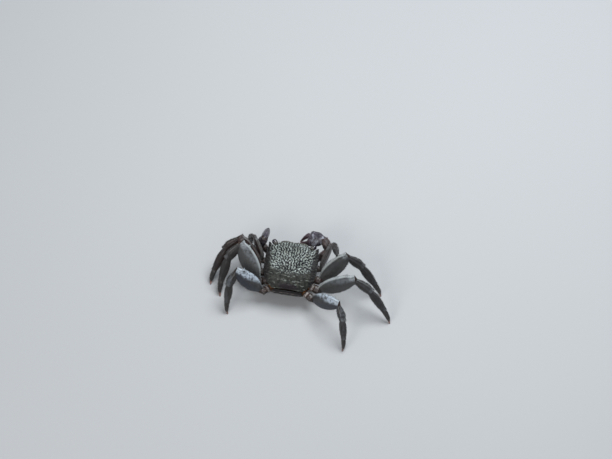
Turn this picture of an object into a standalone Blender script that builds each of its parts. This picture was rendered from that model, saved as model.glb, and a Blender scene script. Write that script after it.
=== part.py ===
"""Mangrove crab (Sesarma mederi), an adult standing still, life size.

The crab faces -Y and its left side is +X. The floor is Z = 0, and the origin is on the floor under
the middle of the whole animal. Sizes below are in millimetres, and meshes are written in metres.
Body places are (across, forward, up), measured from the middle of the back: across is towards the
crab's left.
"""
import bpy
import bmesh
from math import asin, atan2, copysign, cos, hypot, pi, radians, sin
from mathutils import Matrix, Vector

MM = 0.001
GAP = 0.32              # clearance between two neighbouring pieces
LIMB_SIDES = 8          # facets round a limb
EYE_SIDES = 12          # facets round an eye
SIDES = {"left": 1, "right": -1}

# Stance of the body
BACK_HEIGHT = 25.5      # middle of the back above the floor
NOSE_UP = 13.0          # degrees that the front of the body is raised
CENTRE_SHIFT = (8.6, -7.5)   # puts the origin under the middle of the animal

# Back shell, seen from above
SHELL_HALF_WIDTH = 18.0
SHELL_FRONT = 16.6      # teeth of the front corners
LOBE_FRONT = 18.4       # edge of the front between the eyes
SHELL_REAR = 15.3
FRONT_HALF_WIDTH = 9.6
SHELL_UNDERSIDE = -8.2  # lower edge of the shell above the legs
LIP_HEIGHT = -14.3      # lower edge of the shell beside the mouth
FACE_FORWARD = 14.2     # how far forward the face under the front edge reaches
FACE_CURVE = 0.0075     # how fast the face falls back towards the sides

# Breastplate: places (forward, half width, top, bottom), front and rear end, squareness
BREASTPLATE_STATIONS = (
    (-14.0, 6.2, -9.3, -12.6),
    (-12.6, 8.8, -8.8, -14.4),
    (-8.0, 12.2, -8.6, -15.4),
    (-2.0, 13.2, -8.6, -15.6),
    (2.4, 12.8, -8.6, -15.2),
    (4.2, 11.4, -9.0, -14.6),
)
BREASTPLATE_REAR = (0.0, 14.6, -10.8)
BREASTPLATE_FRONT = (0.0, -4.6, -11.8)
BREASTPLATE_SIDES = 16
BREASTPLATE_SQUARENESS = 0.55

# Tail flap, from behind the back forward under the belly: (forward, up, half width, degrees that
# its outer face has turned from facing up), its two ends and its section
TAIL_FLAP_STATIONS = (
    (-15.7, -6.0, 10.0, 20.0),
    (-16.4, -7.2, 10.2, 65.0),
    (-16.7, -9.6, 10.2, 86.0),
    (-16.4, -12.4, 10.4, 103.0),
    (-15.2, -14.8, 10.6, 130.0),
    (-12.2, -16.3, 11.0, 166.0),
    (-7.0, -16.9, 11.2, 178.0),
    (-1.5, -16.7, 9.6, 184.0),
    (2.0, -16.2, 5.2, 190.0),
)
TAIL_FLAP_START = (0.0, 15.2, -5.7)
TAIL_FLAP_END = (0.0, -3.4, -16.0)
TAIL_FLAP_HALF_THICK = 0.62
TAIL_FLAP_SECTION = (
    (-1.0, 0.0), (-0.8, 1.0), (0.0, 1.35), (0.8, 1.0),
    (1.0, 0.0), (0.8, -1.0), (0.0, -1.0), (-0.8, -1.0),
)

# Mouth plates: (up, half width, forward) down the face, their ends and their thickness
MOUTH_PLATE_STATIONS = (
    (-8.9, 2.1, 12.4), (-10.6, 3.0, 11.6), (-12.6, 3.05, 10.4), (-14.4, 2.7, 9.2), (-15.6, 1.9, 8.2),
)
MOUTH_PLATE_MIDDLE = 3.25
MOUTH_PLATE_TOP = (3.3, 12.2, -8.4)
MOUTH_PLATE_FOOT = (3.2, 7.9, -16.1)
MOUTH_PLATE_HALF_THICK = 0.85

# Eyes and feelers
EYE_RADIUS = 1.8
STALK_RADIUS = 0.9
EYE_PLACE = (13.5, 16.3, -4.5)
EYE_ROOT = (10.3, 13.6, -5.8)
FEELER_ROOT = (8.9, 13.0, -7.0)
FEELER_TIP = (11.0, 18.0, -7.6)
FEELER_RADIUS = 0.36

# Walking legs: root in the body, hip, lengths and widths
LEG_SIZES = {
    "leg_1": {
        "root": (12.3, 2.1, -11.4), "hip": (19.8, 3.8, -11.2),
        "lengths": (19.5, 9.2, 12.4, 10.2), "broad": 9.2,
    },
    "leg_2": {
        "root": (12.7, -3.6, -11.6), "hip": (20.3, -4.4, -11.4),
        "lengths": (27.0, 12.3, 17.0, 12.3), "broad": 12.0,
    },
    "leg_3": {
        "root": (12.2, -8.6, -11.6), "hip": (20.3, -11.0, -11.4),
        "lengths": (28.6, 12.8, 17.0, 12.5), "broad": 12.4,
    },
    "leg_4": {
        "root": (10.0, -12.6, -11.4), "hip": (16.7, -17.4, -11.2),
        "lengths": (25.0, 10.2, 13.4, 10.8), "broad": 11.2,
    },
}

# Walking legs as they stand: degrees of heading towards the front, lean of the leg's plane
# towards the front, and bends at knee, wrist and ankle
LEG_POSES = {
    "leg_1_left": {"heading": 47, "lean": 4, "bends": (120, 16, 10)},
    "leg_2_left": {"heading": 7, "lean": 43, "bends": (99, 22, 12)},
    "leg_3_left": {"heading": 3, "lean": 43, "bends": (114, 24, 12)},
    "leg_4_left": {"heading": -22, "lean": 32, "bends": (109, 18, 9)},
    "leg_1_right": {"heading": 63, "lean": 3, "bends": (116, 16, 10)},
    "leg_2_right": {"heading": 12, "lean": 28, "bends": (88, 17, 8)},
    "leg_3_right": {"heading": -6, "lean": 25, "bends": (63, 22, 12)},
    "leg_4_right": {"heading": -41, "lean": 27, "bends": (77, 17, 10)},
}

# Limb shapes: (way along the length, offset, half height, half thickness), as shares of the
# length, the leg's broad size, the broad size and the piece's own thickness
MERUS_SHAPE = (
    (0.00, 0.00, 0.17, 0.40),
    (0.09, 0.00, 0.22, 0.52),
    (0.26, 0.00, 0.41, 0.90),
    (0.48, 0.01, 0.50, 1.00),
    (0.72, 0.02, 0.46, 0.95),
    (0.87, 0.03, 0.38, 0.82),
    (1.00, 0.00, 0.28, 0.68),
)
CARPUS_SHAPE = (
    (0.00, 0.00, 0.145, 0.42),
    (0.16, 0.00, 0.175, 0.62),
    (0.45, 0.01, 0.235, 0.90),
    (0.78, 0.02, 0.265, 1.00),
    (1.00, 0.00, 0.215, 0.86),
)
PROPODUS_SHAPE = (
    (0.00, 0.00, 0.145, 0.50),
    (0.12, 0.00, 0.185, 0.78),
    (0.40, 0.01, 0.225, 1.00),
    (0.75, 0.00, 0.205, 0.95),
    (1.00, 0.00, 0.150, 0.74),
)
DACTYL_SHAPE = (
    (0.00, 0.00, 0.115, 0.56),
    (0.13, 0.01, 0.140, 1.00),
    (0.42, 0.04, 0.125, 0.88),
    (0.75, 0.04, 0.085, 0.60),
    (0.93, 0.01, 0.048, 0.32),
    (1.00, 0.00, 0.036, 0.22),
)
LEG_PIECES = (
    ("merus", MERUS_SHAPE, 0.168),
    ("carpus", CARPUS_SHAPE, 0.170),
    ("propodus", PROPODUS_SHAPE, 0.145),
    ("dactyl", DACTYL_SHAPE, 0.105),
)
JOINT_REACH = 0.9       # how far a leg piece runs past the joint at its far end
ARM_REACH = 0.2         # the same for the pieces of the arms
COXA_SHAPE = ((0.0, 0.84), (0.3, 0.97), (0.9, 0.96))
COXA_HALF = 2.75        # half thickness of a leg's first piece, at most
COXA_SHARE = 0.23       # the same as a share of the leg's broad size

# Claws: joints of each arm, and which way the upper edge of the palm faces
ARM_ROOT = (9.4, 4.3, -13.3)
ARM_POSES = {
    "left": {
        "shoulder": (13.8, 8.2, -13.8), "elbow": (22.8, 14.3, -9.4), "wrist": (20.5, 17.1, -2.5),
        "tip": (21.5, 24.9, -19.2), "edge": (-0.30, 0.80, 0.47),
    },
    "right": {
        "shoulder": (13.8, 8.2, -13.8), "elbow": (23.2, 16.3, -9.6), "wrist": (19.6, 23.3, -7.0),
        "tip": (3.0, 23.0, -15.6), "edge": (0.12, 0.94, 0.32),
    },
}
ISCHIUM_SHAPE = ((0.0, 0.0, 1.5, 1.6), (0.5, 0.0, 1.7, 1.75), (1.0, 0.0, 1.8, 1.8))
ARM_SHAPE = (
    (0.00, 0.0, 1.7, 1.6), (0.15, 0.0, 2.1, 1.9), (0.50, 0.2, 2.8, 2.2),
    (0.80, 0.2, 3.1, 2.4), (1.00, 0.0, 2.5, 2.0),
)
WRIST_SHAPE = (
    (0.00, 0.0, 1.6, 1.5), (0.20, 0.2, 2.5, 2.3), (0.50, 0.3, 3.2, 2.9),
    (0.80, 0.2, 3.1, 2.8), (1.00, 0.0, 2.5, 2.2),
)
PALM_SHAPE = (
    (0.0, 0.0, 1.4, 1.3), (1.4, 0.1, 2.2, 1.7), (3.2, 0.1, 4.0, 2.1), (7.0, 0.2, 4.9, 2.3),
    (10.4, 0.1, 4.8, 2.25), (12.0, -1.0, 3.6, 2.0), (13.3, -2.4, 2.2, 1.6),
    (16.0, -2.9, 1.4, 1.25), (18.2, -2.7, 0.95, 0.85), (19.0, -2.4, 0.45, 0.4),
)
FINGER_SHAPE = (
    (11.0, 2.4, 1.3, 1.05), (12.6, 2.6, 1.65, 1.25), (15.2, 1.4, 1.45, 1.1),
    (17.6, -0.3, 1.0, 0.75), (19.0, -1.4, 0.5, 0.45),
)

# Colours of the pieces
SHELL_GREY = (0.20, 0.21, 0.18)
BELLY_BUFF = (0.42, 0.36, 0.27)
LEG_GREY = (0.12, 0.11, 0.10)
LEG_BROWN = (0.16, 0.10, 0.08)
CLAW_VIOLET = (0.23, 0.17, 0.25)
EYE_BLACK = (0.02, 0.02, 0.03)
MOUTH_GREY = (0.22, 0.20, 0.17)


def clear_scene():
    """Removes whatever the scene held before."""
    for item in list(bpy.data.objects):
        bpy.data.objects.remove(item, do_unlink=True)


def surface(name, colour, roughness):
    """A plain shell material."""
    material = bpy.data.materials.new(name)
    material.use_nodes = True
    shader = material.node_tree.nodes["Principled BSDF"]
    shader.inputs["Base Color"].default_value = (*colour, 1.0)
    shader.inputs["Roughness"].default_value = roughness
    shader.inputs["Metallic"].default_value = 0.0
    return material


def smooth_step(low, high, value):
    """0 below low, 1 above high, and a soft rise between them."""
    share = min(1.0, max(0.0, (value - low) / (high - low)))
    return share * share * (3.0 - 2.0 * share)


def body_point(across, forward, up):
    """A place on the body as a vector of the body's own axes."""
    return Vector((across, -forward, up))


def closed_mesh(name, rings):
    """A closed skin through rings of points; a ring of one point is an end."""
    shape = bmesh.new()
    rows = [[shape.verts.new(Vector(point) * MM) for point in ring] for ring in rings]
    for near, far in zip(rows, rows[1:]):
        for step in range(max(len(near), len(far))):
            corners = (
                near[step % len(near)],
                near[(step + 1) % len(near)],
                far[(step + 1) % len(far)],
                far[step % len(far)],
            )
            shape.faces.new(list(dict.fromkeys(corners)))
    bmesh.ops.recalc_face_normals(shape, faces=shape.faces)
    mesh = bpy.data.meshes.new(name)
    shape.to_mesh(mesh)
    shape.free()
    mesh.shade_smooth()
    mesh.set_sharp_from_angle(angle=radians(38))
    return mesh


def add_piece(name, rings, frame, colour, roughness):
    """A finished piece with its own material, placed by its frame."""
    piece = bpy.data.objects.new(name, closed_mesh(name, rings))
    piece.matrix_world = frame
    piece.data.materials.append(surface(name, colour, roughness))
    bpy.context.scene.collection.objects.link(piece)
    return piece


def cut_clear(piece, name, rings, frame):
    """Cuts the room that a neighbour needs out of a piece."""
    cutter = bpy.data.objects.new(name, closed_mesh(name, rings))
    cutter.matrix_world = frame
    cutter.hide_render = True
    cutter.display_type = "WIRE"
    bpy.context.scene.collection.objects.link(cutter)
    cut = piece.modifiers.new(name, "BOOLEAN")
    cut.operation = "DIFFERENCE"
    cut.solver = "EXACT"
    cut.object = cutter


# Frames

def body_frame():
    """The body's own axes: raised, tipped nose up and centred over the origin."""
    place = Vector((CENTRE_SHIFT[0], CENTRE_SHIFT[1], BACK_HEIGHT)) * MM
    return Matrix.Translation(place) @ Matrix.Rotation(radians(-NOSE_UP), 4, "X")


def frame_along(start, along, edge):
    """A frame at start with X along a limb and Z towards its upper edge."""
    along = along.normalized()
    edge = (edge - along * edge.dot(along)).normalized()
    across = edge.cross(along)
    turn = Matrix((along, across, edge)).transposed().to_4x4()
    return Matrix.Translation(start * MM) @ turn


def leg_frames(name, side, body):
    """Frames of a leg's pieces, with the tip of its last piece on the floor."""
    sizes = LEG_SIZES[name.rsplit("_", 1)[0]]
    pose = LEG_POSES[name]
    across, forward, up = sizes["hip"]
    hip = (body @ (body_point(side * across, forward, up) * MM)) / MM
    heading = radians(pose["heading"])
    lean = radians(pose["lean"])
    outward = Vector((side * cos(heading), -sin(heading), 0.0))
    forward_line = Vector((-side * sin(heading), -cos(heading), 0.0))
    upward = Vector((0.0, 0.0, cos(lean))) + forward_line * sin(lean)
    turns = [0.0]
    for bend in pose["bends"]:
        turns.append(turns[-1] + radians(bend))
    reach = sum(length * cos(turn) for length, turn in zip(sizes["lengths"], turns))
    drop = sum(length * sin(turn) for length, turn in zip(sizes["lengths"], turns))
    rise = atan2(drop, reach) - asin(hip.z / (hypot(reach, drop) * cos(lean)))
    frames = []
    joint = hip
    for length, turn in zip(sizes["lengths"], turns):
        along = outward * cos(rise - turn) + upward * sin(rise - turn)
        edge = upward * cos(rise - turn) - outward * sin(rise - turn)
        frames.append(frame_along(joint, along, edge))
        joint = joint + along * length
    return frames


# Limb shapes

def limb_rings(stations, grow=0.0, reach=0.0, sides=LIMB_SIDES):
    """Rings of a flattened limb along X, closed by a rounded head at each end.

    The facets sit half a step round, so that no corner lies in the limb's own plane."""
    first, last = stations[0], stations[-1]
    head = 0.5 * (first[2] + first[3]) + grow
    foot = 0.35 * (last[2] + last[3]) + reach + grow
    rows = [(first[0] - 0.62 * head, first[1], 0.78 * (first[2] + grow), 0.78 * (first[3] + grow))]
    rows += [(x, z, high + grow, thick + grow) for x, z, high, thick in stations]
    rows += [(last[0] + 0.7 * foot, last[1], 0.72 * (last[2] + grow), 0.72 * (last[3] + grow))]
    rings = [[(first[0] - head, 0.0, first[1])]]
    for x, z, high, thick in rows:
        turns = [2.0 * pi * (step + 0.5) / sides for step in range(sides)]
        rings.append([(x, thick * sin(turn), z + high * cos(turn)) for turn in turns])
    rings.append([(last[0] + foot, 0.0, last[1])])
    return rings


def leg_stations(shape, length, broad, thickness):
    """A leg piece's shape at its real size."""
    return [(s * length, z * broad, high * broad, thick * thickness) for s, z, high, thick in shape]


def flat_foot(rings, frame):
    """Sets the far end of a leg's last piece flat on the floor."""
    back = frame.inverted()
    for ring in rings[-3:]:
        for index, point in enumerate(ring):
            place = frame @ (Vector(point) * MM)
            place.z = 0.0
            ring[index] = (back @ place) / MM
    return rings[:-2] + [rings[-1]]


# Back shell

def shell_margin():
    """Half of the shell's outline from above, from the middle of the front to the middle rear."""
    width = SHELL_HALF_WIDTH
    front = SHELL_FRONT
    rear = -SHELL_REAR
    return (
        (0.0, LOBE_FRONT - 0.5),
        (3.2, LOBE_FRONT - 0.1),
        (6.4, LOBE_FRONT),
        (FRONT_HALF_WIDTH - 0.4, LOBE_FRONT - 0.4),
        (FRONT_HALF_WIDTH + 0.7, front - 0.8),
        (FRONT_HALF_WIDTH + 1.7, front - 2.7),
        (13.0, front - 2.9),
        (14.9, front - 2.6),
        (width - 1.3, front - 0.9),
        (width - 0.9, front - 3.4),
        (width - 1.2, front - 4.9),
        (width - 0.1, front - 4.6),
        (width - 0.2, front - 7.4),
        (width, 3.6),
        (width, -0.6),
        (width - 0.5, -5.0),
        (width - 1.9, -9.2),
        (width - 4.1, -12.2),
        (width - 6.4, -14.3),
        (10.4, rear),
        (6.4, rear + 0.1),
        (3.0, rear + 0.3),
        (0.0, rear + 0.4),
    )


def mirrored(half):
    """A whole outline from its left half."""
    return list(half) + [(-across, forward) for across, forward in reversed(half[1:-1])]


def back_height(across, forward):
    """Height of the back over a place, from the middle of the back."""
    side = 2.5 * (abs(across) / SHELL_HALF_WIDTH) ** 2.6
    rear = 3.1 * (max(0.0, -forward - 2.0) / (SHELL_REAR - 2.0)) ** 2
    fore = 0.6 * (max(0.0, forward) / 12.0) ** 2
    in_front = 1.0 - smooth_step(FRONT_HALF_WIDTH, FRONT_HALF_WIDTH + 1.4, abs(across))
    brow = 4.2 * smooth_step(12.0, LOBE_FRONT, forward) * in_front
    return -(side + rear + fore + brow)


def face_line(across):
    """How far forward the face under the front edge reaches."""
    return FACE_FORWARD - FACE_CURVE * across * across


# Rings of the shell's wall: for the face (back from the face line, height, share of the width)
# and for the sides (share of the outline, height)
WALL_RINGS = (
    ((0.7, -6.2, 0.98), (0.985, -5.2)),
    ((0.1, -8.0, 0.95), (0.960, -6.6)),
    ((1.9, -11.0, 0.77), (0.915, -7.7)),
    ((4.2, LIP_HEIGHT, 0.50), (0.850, SHELL_UNDERSIDE)),
)


def shell_rings():
    """Rings of the back shell from the middle of the back, over the edge, to its underside."""
    outline = mirrored(shell_margin())
    rings = [[(0.0, 0.0, 0.0)]]
    for share in (0.3, 0.55, 0.72, 0.84, 0.93, 1.0):
        edge_drop = 1.0 * share ** 8
        rings.append([
            (share * x, -share * f, back_height(share * x, share * f) - edge_drop)
            for x, f in outline
        ])
    rings.append([(0.99 * x, -0.985 * f, back_height(x, f) - 1.7) for x, f in outline])
    for (back, face_up, face_width), (share, side_up) in WALL_RINGS:
        ring = []
        for x, f in outline:
            face = smooth_step(6.0, 11.0, f)
            face_x = x * face_width
            face_f = face_line(face_x) - back
            across = face * face_x + (1.0 - face) * x * share
            forward = face * face_f + (1.0 - face) * f * share
            ring.append((across, -forward, face * face_up + (1.0 - face) * side_up))
        rings.append(ring)
    last = rings[-1]
    for share in (0.68, 0.36):
        ring = []
        for x, y, z in last:
            forward = -y * share
            low = smooth_step(5.8, 8.0, forward)
            ring.append((x * share, -forward, SHELL_UNDERSIDE + low * (LIP_HEIGHT - SHELL_UNDERSIDE)))
        rings.append(ring)
    rings.append([(0.0, 0.0, SHELL_UNDERSIDE)])
    return rings


# Underside

def breastplate_rings():
    """Rings of the breastplate from its rear to its front: (forward, half width, top, bottom)."""
    rings = [[BREASTPLATE_REAR]]
    for forward, half, top, bottom in BREASTPLATE_STATIONS:
        middle = 0.5 * (top + bottom)
        tall = 0.5 * (top - bottom)
        ring = []
        for step in range(BREASTPLATE_SIDES):
            turn = 2.0 * pi * step / BREASTPLATE_SIDES
            across = copysign(abs(cos(turn)) ** BREASTPLATE_SQUARENESS, cos(turn))
            up = copysign(abs(sin(turn)) ** BREASTPLATE_SQUARENESS, sin(turn))
            ring.append((half * across, -forward, middle + tall * up))
        rings.append(ring)
    rings.append([BREASTPLATE_FRONT])
    return rings


def tail_flap_rings():
    """Rings of the tail flap, from behind the back, round the rear and forward under the belly."""
    rings = [[TAIL_FLAP_START]]
    for forward, up, half, slope in TAIL_FLAP_STATIONS:
        turn = radians(slope)
        outward = Vector((-sin(turn), cos(turn)))
        ring = []
        for across, side in TAIL_FLAP_SECTION:
            point = Vector((forward, up)) + outward * TAIL_FLAP_HALF_THICK * side
            ring.append((half * across, -point.x, point.y))
        rings.append(ring)
    rings.append([TAIL_FLAP_END])
    return rings


# Face

def eye_rings(grow=0.0):
    """An eye on its short stalk, along X."""
    length = (Vector(EYE_PLACE) - Vector(EYE_ROOT)).length
    big = EYE_RADIUS + grow
    rows = (
        (0.0, STALK_RADIUS + grow), (0.4 * length, 1.1 * STALK_RADIUS + grow),
        (length - 1.3, 0.85 * big), (length - 0.5, 0.98 * big),
        (length + 0.4, 0.95 * big), (length + 1.2, 0.68 * big),
    )
    rings = [[(-STALK_RADIUS - grow, 0.0, 0.0)]]
    for x, radius in rows:
        turns = [2.0 * pi * step / EYE_SIDES for step in range(EYE_SIDES)]
        rings.append([(x, radius * sin(turn), radius * cos(turn)) for turn in turns])
    rings.append([(length + 0.92 * EYE_RADIUS + grow, 0.0, 0.0)])
    return rings


def feeler_rings(grow=0.0):
    """A short feeler, along X."""
    length = (Vector(FEELER_TIP) - Vector(FEELER_ROOT)).length
    base = 1.7 * FEELER_RADIUS
    middle = 1.4 * FEELER_RADIUS
    tip = 0.75 * FEELER_RADIUS
    stations = ((0.0, 0.0, base, base), (0.45 * length, 0.0, middle, middle), (length, 0.0, tip, tip))
    return limb_rings(stations, grow, 0.0, 6)


def mouth_plate_rings(side, grow=0.0):
    """One of the two plates that close the mouth, in the body's own axes."""
    top_across, top_forward, top_up = MOUTH_PLATE_TOP
    foot_across, foot_forward, foot_up = MOUTH_PLATE_FOOT
    middle_up = 0.5 * (top_up + foot_up)
    thick = MOUTH_PLATE_HALF_THICK + grow
    rings = [[(side * top_across, -top_forward, top_up + grow)]]
    for up, half, forward in MOUTH_PLATE_STATIONS:
        stretched = up + grow * (up - middle_up) / (top_up - middle_up)
        ring = []
        for step in range(LIMB_SIDES):
            turn = 2.0 * pi * step / LIMB_SIDES
            across = side * MOUTH_PLATE_MIDDLE + (half + grow) * cos(turn)
            ring.append((across, -(forward + thick * sin(turn)), stretched + 0.2 * sin(turn)))
        rings.append(ring)
    rings.append([(side * foot_across, -foot_forward, foot_up - grow)])
    return rings


def body_limb_frame(body, side, root, tip, edge=(0.0, 0.0, 1.0)):
    """A frame in the body from one place to another, for the left side or the right."""
    start = body @ (body_point(side * root[0], root[1], root[2]) * MM)
    end = body @ (body_point(side * tip[0], tip[1], tip[2]) * MM)
    up = body.to_3x3() @ body_point(side * edge[0], edge[1], edge[2])
    return frame_along(start / MM, (end - start) / MM, up)


def build_face(body, shell):
    """Eyes, feelers and mouth plates, each in its own hollow of the shell."""
    for label, side in SIDES.items():
        eye = body_limb_frame(body, side, EYE_ROOT, EYE_PLACE)
        add_piece("eye_" + label, eye_rings(), eye, EYE_BLACK, 0.1)
        cut_clear(shell, "orbit_" + label, eye_rings(1.5 * GAP), eye)
        feeler = body_limb_frame(body, side, FEELER_ROOT, FEELER_TIP)
        add_piece("antenna_" + label, feeler_rings(), feeler, LEG_BROWN, 0.4)
        cut_clear(shell, "antenna_socket_" + label, feeler_rings(GAP), feeler)
        add_piece("maxilliped_" + label, mouth_plate_rings(side), body, MOUTH_GREY, 0.5)
        cut_clear(shell, "mouth_room_" + label, mouth_plate_rings(side, 1.4 * GAP), body)


# Walking legs

def coxa_frame_and_rings(body, side, sizes, grow=0.0):
    """The short first piece of a leg, from the breastplate to the hip."""
    root, hip = sizes["root"], sizes["hip"]
    frame = body_limb_frame(body, side, root, hip)
    length = (Vector(hip) - Vector(root)).length
    half = min(COXA_HALF, COXA_SHARE * sizes["broad"])
    stations = [(way * length, 0.0, share * half, share * half) for way, share in COXA_SHAPE]
    return frame, limb_rings(stations, grow)


def build_leg(name, side, body, plate):
    """One walking leg, each piece cut clear for the head of the next."""
    sizes = LEG_SIZES[name.rsplit("_", 1)[0]]
    frame, rings = coxa_frame_and_rings(body, side, sizes)
    last = add_piece(name + "_coxa", rings, frame, BELLY_BUFF, 0.5)
    cut_clear(plate, name + "_socket", coxa_frame_and_rings(body, side, sizes, GAP)[1], frame)
    frames = leg_frames(name, side, body)
    for (piece, shape, thickness), length, frame in zip(LEG_PIECES, sizes["lengths"], frames):
        stations = leg_stations(shape, length, sizes["broad"], thickness * sizes["broad"])
        reach = JOINT_REACH if piece != "dactyl" else 0.0
        rings = limb_rings(stations, 0.0, reach)
        if piece == "dactyl":
            rings = flat_foot(rings, frame)
        colour = LEG_GREY if piece in ("merus", "propodus") else LEG_BROWN
        made = add_piece(name + "_" + piece, rings, frame, colour, 0.35)
        cut_clear(last, name + "_" + piece + "_room", limb_rings(stations, GAP, reach), frame)
        last = made


# Claws

def build_claw(label, side, body, plate):
    """One arm with its claw."""
    pose = ARM_POSES[label]
    joints = (ARM_ROOT, pose["shoulder"], pose["elbow"], pose["wrist"])
    segments = (("ischium", ISCHIUM_SHAPE), ("merus", ARM_SHAPE), ("carpus", WRIST_SHAPE))
    last = plate
    for (piece, shape), start, end in zip(segments, joints, joints[1:]):
        frame = body_limb_frame(body, side, start, end)
        length = (Vector(end) - Vector(start)).length
        stations = [(s * length, z, high, thick) for s, z, high, thick in shape]
        name = "claw_" + label + "_" + piece
        made = add_piece(name, limb_rings(stations, 0.0, ARM_REACH), frame, LEG_BROWN, 0.35)
        cut_clear(last, name + "_room", limb_rings(stations, GAP, ARM_REACH), frame)
        last = made
    frame = body_limb_frame(body, side, pose["wrist"], pose["tip"], pose["edge"])
    name = "claw_" + label + "_palm"
    palm = add_piece(name, limb_rings(PALM_SHAPE), frame, CLAW_VIOLET, 0.3)
    cut_clear(last, name + "_room", limb_rings(PALM_SHAPE, GAP), frame)
    name = "claw_" + label + "_finger"
    add_piece(name, limb_rings(FINGER_SHAPE), frame, CLAW_VIOLET, 0.3)
    cut_clear(palm, name + "_room", limb_rings(FINGER_SHAPE, GAP), frame)


def build():
    """The whole crab."""
    clear_scene()
    body = body_frame()
    shell = add_piece("carapace", shell_rings(), body, SHELL_GREY, 0.35)
    build_face(body, shell)
    plate = add_piece("sternum", breastplate_rings(), body, BELLY_BUFF, 0.5)
    add_piece("abdomen", tail_flap_rings(), body, BELLY_BUFF, 0.45)
    for label, side in SIDES.items():
        for number in LEG_SIZES:
            build_leg(number + "_" + label, side, body, plate)
        build_claw(label, side, body, plate)


build()
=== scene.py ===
"""Looks of the mangrove crab (Sesarma mederi): a still, life-size adult, standing.

The crab faces -Y, its left side is +X and the floor is Z = 0. Sizes are in millimetres, and meshes
are written in metres. Body places are (across, forward, up), measured from the middle of the back.
"""

from itertools import accumulate, product
from math import asin, atan2, cos, hypot, pi, radians, sin

import bpy
import numpy as np
from mathutils import Matrix, Vector


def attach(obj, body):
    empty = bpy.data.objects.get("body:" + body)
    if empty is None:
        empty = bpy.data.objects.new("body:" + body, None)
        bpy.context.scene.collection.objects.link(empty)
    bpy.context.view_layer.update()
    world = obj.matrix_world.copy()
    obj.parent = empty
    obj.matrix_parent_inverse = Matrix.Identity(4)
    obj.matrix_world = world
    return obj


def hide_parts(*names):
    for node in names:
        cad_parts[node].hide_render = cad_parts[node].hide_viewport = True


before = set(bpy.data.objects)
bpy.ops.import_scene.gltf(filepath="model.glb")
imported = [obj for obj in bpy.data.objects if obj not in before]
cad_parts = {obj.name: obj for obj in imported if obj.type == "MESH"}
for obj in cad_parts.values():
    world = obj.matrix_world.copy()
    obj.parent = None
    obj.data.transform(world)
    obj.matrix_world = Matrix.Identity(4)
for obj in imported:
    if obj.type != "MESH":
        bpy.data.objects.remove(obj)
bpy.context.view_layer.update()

MM = 0.001
SIDES = {"left": 1, "right": -1}

# Stance of the body
BACK_HEIGHT = 25.5
NOSE_UP = 13.0
CENTRE_SHIFT = (8.6, -7.5)

# Back shell
SHELL_HALF_WIDTH = 18.0
SHELL_FRONT = 16.6      # teeth of the front corners
LOBE_FRONT = 18.4       # edge of the front between the eyes
SHELL_REAR = 15.3
FRONT_HALF_WIDTH = 9.6
SHELL_UNDERSIDE = -8.2
LIP_HEIGHT = -14.3
FACE_FORWARD = 14.2
FACE_CURVE = 0.0075
SHELL_ROUND = 440       # points round the shell
BACK_ROWS = 112
WALL_ROWS = 56
BARE_ROWS = 24          # last rows of the wall, without bristles

# Underside
BREASTPLATE_STATIONS = (
    (-14.0, 6.2, -9.3, -12.6),
    (-12.6, 8.8, -8.8, -14.4),
    (-8.0, 12.2, -8.6, -15.4),
    (-2.0, 13.2, -8.6, -15.6),
    (2.4, 12.8, -8.6, -15.2),
    (4.2, 11.4, -9.0, -14.6),
)
BREASTPLATE_REAR = (0.0, 14.6, -10.8)
BREASTPLATE_FRONT = (0.0, -4.6, -11.8)
BREASTPLATE_SQUARENESS = 0.55
BREASTPLATE_SEAMS = (-10.6, -6.2, -1.6, 2.2)
BREASTPLATE_SIDES = 112
TAIL_FLAP_STATIONS = (
    (-15.7, -6.0, 10.0, 20.0),
    (-16.4, -7.2, 10.2, 65.0),
    (-16.7, -9.6, 10.2, 86.0),
    (-16.4, -12.4, 10.4, 103.0),
    (-15.2, -14.8, 10.6, 130.0),
    (-12.2, -16.3, 11.0, 166.0),
    (-7.0, -16.9, 11.2, 178.0),
    (-1.5, -16.7, 9.6, 184.0),
    (2.0, -16.2, 5.2, 190.0),
)
TAIL_FLAP_START = (0.0, 15.2, -5.7)
TAIL_FLAP_END = (0.0, -3.4, -16.0)
TAIL_FLAP_HALF_THICK = 0.62
TAIL_FLAP_SEAMS = (0.075, 0.20, 0.335, 0.475, 0.62, 0.79)
TAIL_FLAP_SIDES = 96
MOUTH_PLATE_STATIONS = (
    (-8.9, 2.1, 12.4), (-10.6, 3.0, 11.6), (-12.6, 3.05, 10.4), (-14.4, 2.7, 9.2), (-15.6, 1.9, 8.2),
)
MOUTH_PLATE_MIDDLE = 3.25
MOUTH_PLATE_TOP = (3.3, 12.2, -8.4)
MOUTH_PLATE_FOOT = (3.2, 7.9, -16.1)
MOUTH_PLATE_HALF_THICK = 0.85
MOUTH_PLATE_SIDES = 80

# Eyes and feelers
EYE_RADIUS = 1.8
EYE_SIDES = 64
STALK_RADIUS = 0.9
EYE_PLACE = (13.5, 16.3, -4.5)
EYE_ROOT = (10.3, 13.6, -5.8)
FEELER_ROOT = (8.9, 13.0, -7.0)
FEELER_TIP = (11.0, 18.0, -7.6)
FEELER_SHAPE = (
    (0.0, 0.64), (0.12, 0.68), (0.17, 0.52), (0.22, 0.60), (0.34, 0.56), (0.38, 0.40), (0.46, 0.40),
    (0.50, 0.28), (1.0, 0.14),
)
SMALL_FEELER_ROOT = (3.0, 13.6, -7.3)
SMALL_FEELER_TIP = (6.6, 14.6, -6.6)
SMALL_FEELER_SHAPE = (
    (0.0, 0.0, 0.75, 0.75), (1.1, 0.1, 0.85, 0.8), (2.0, 0.2, 0.5, 0.5), (3.4, 0.0, 0.25, 0.25),
)

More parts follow.
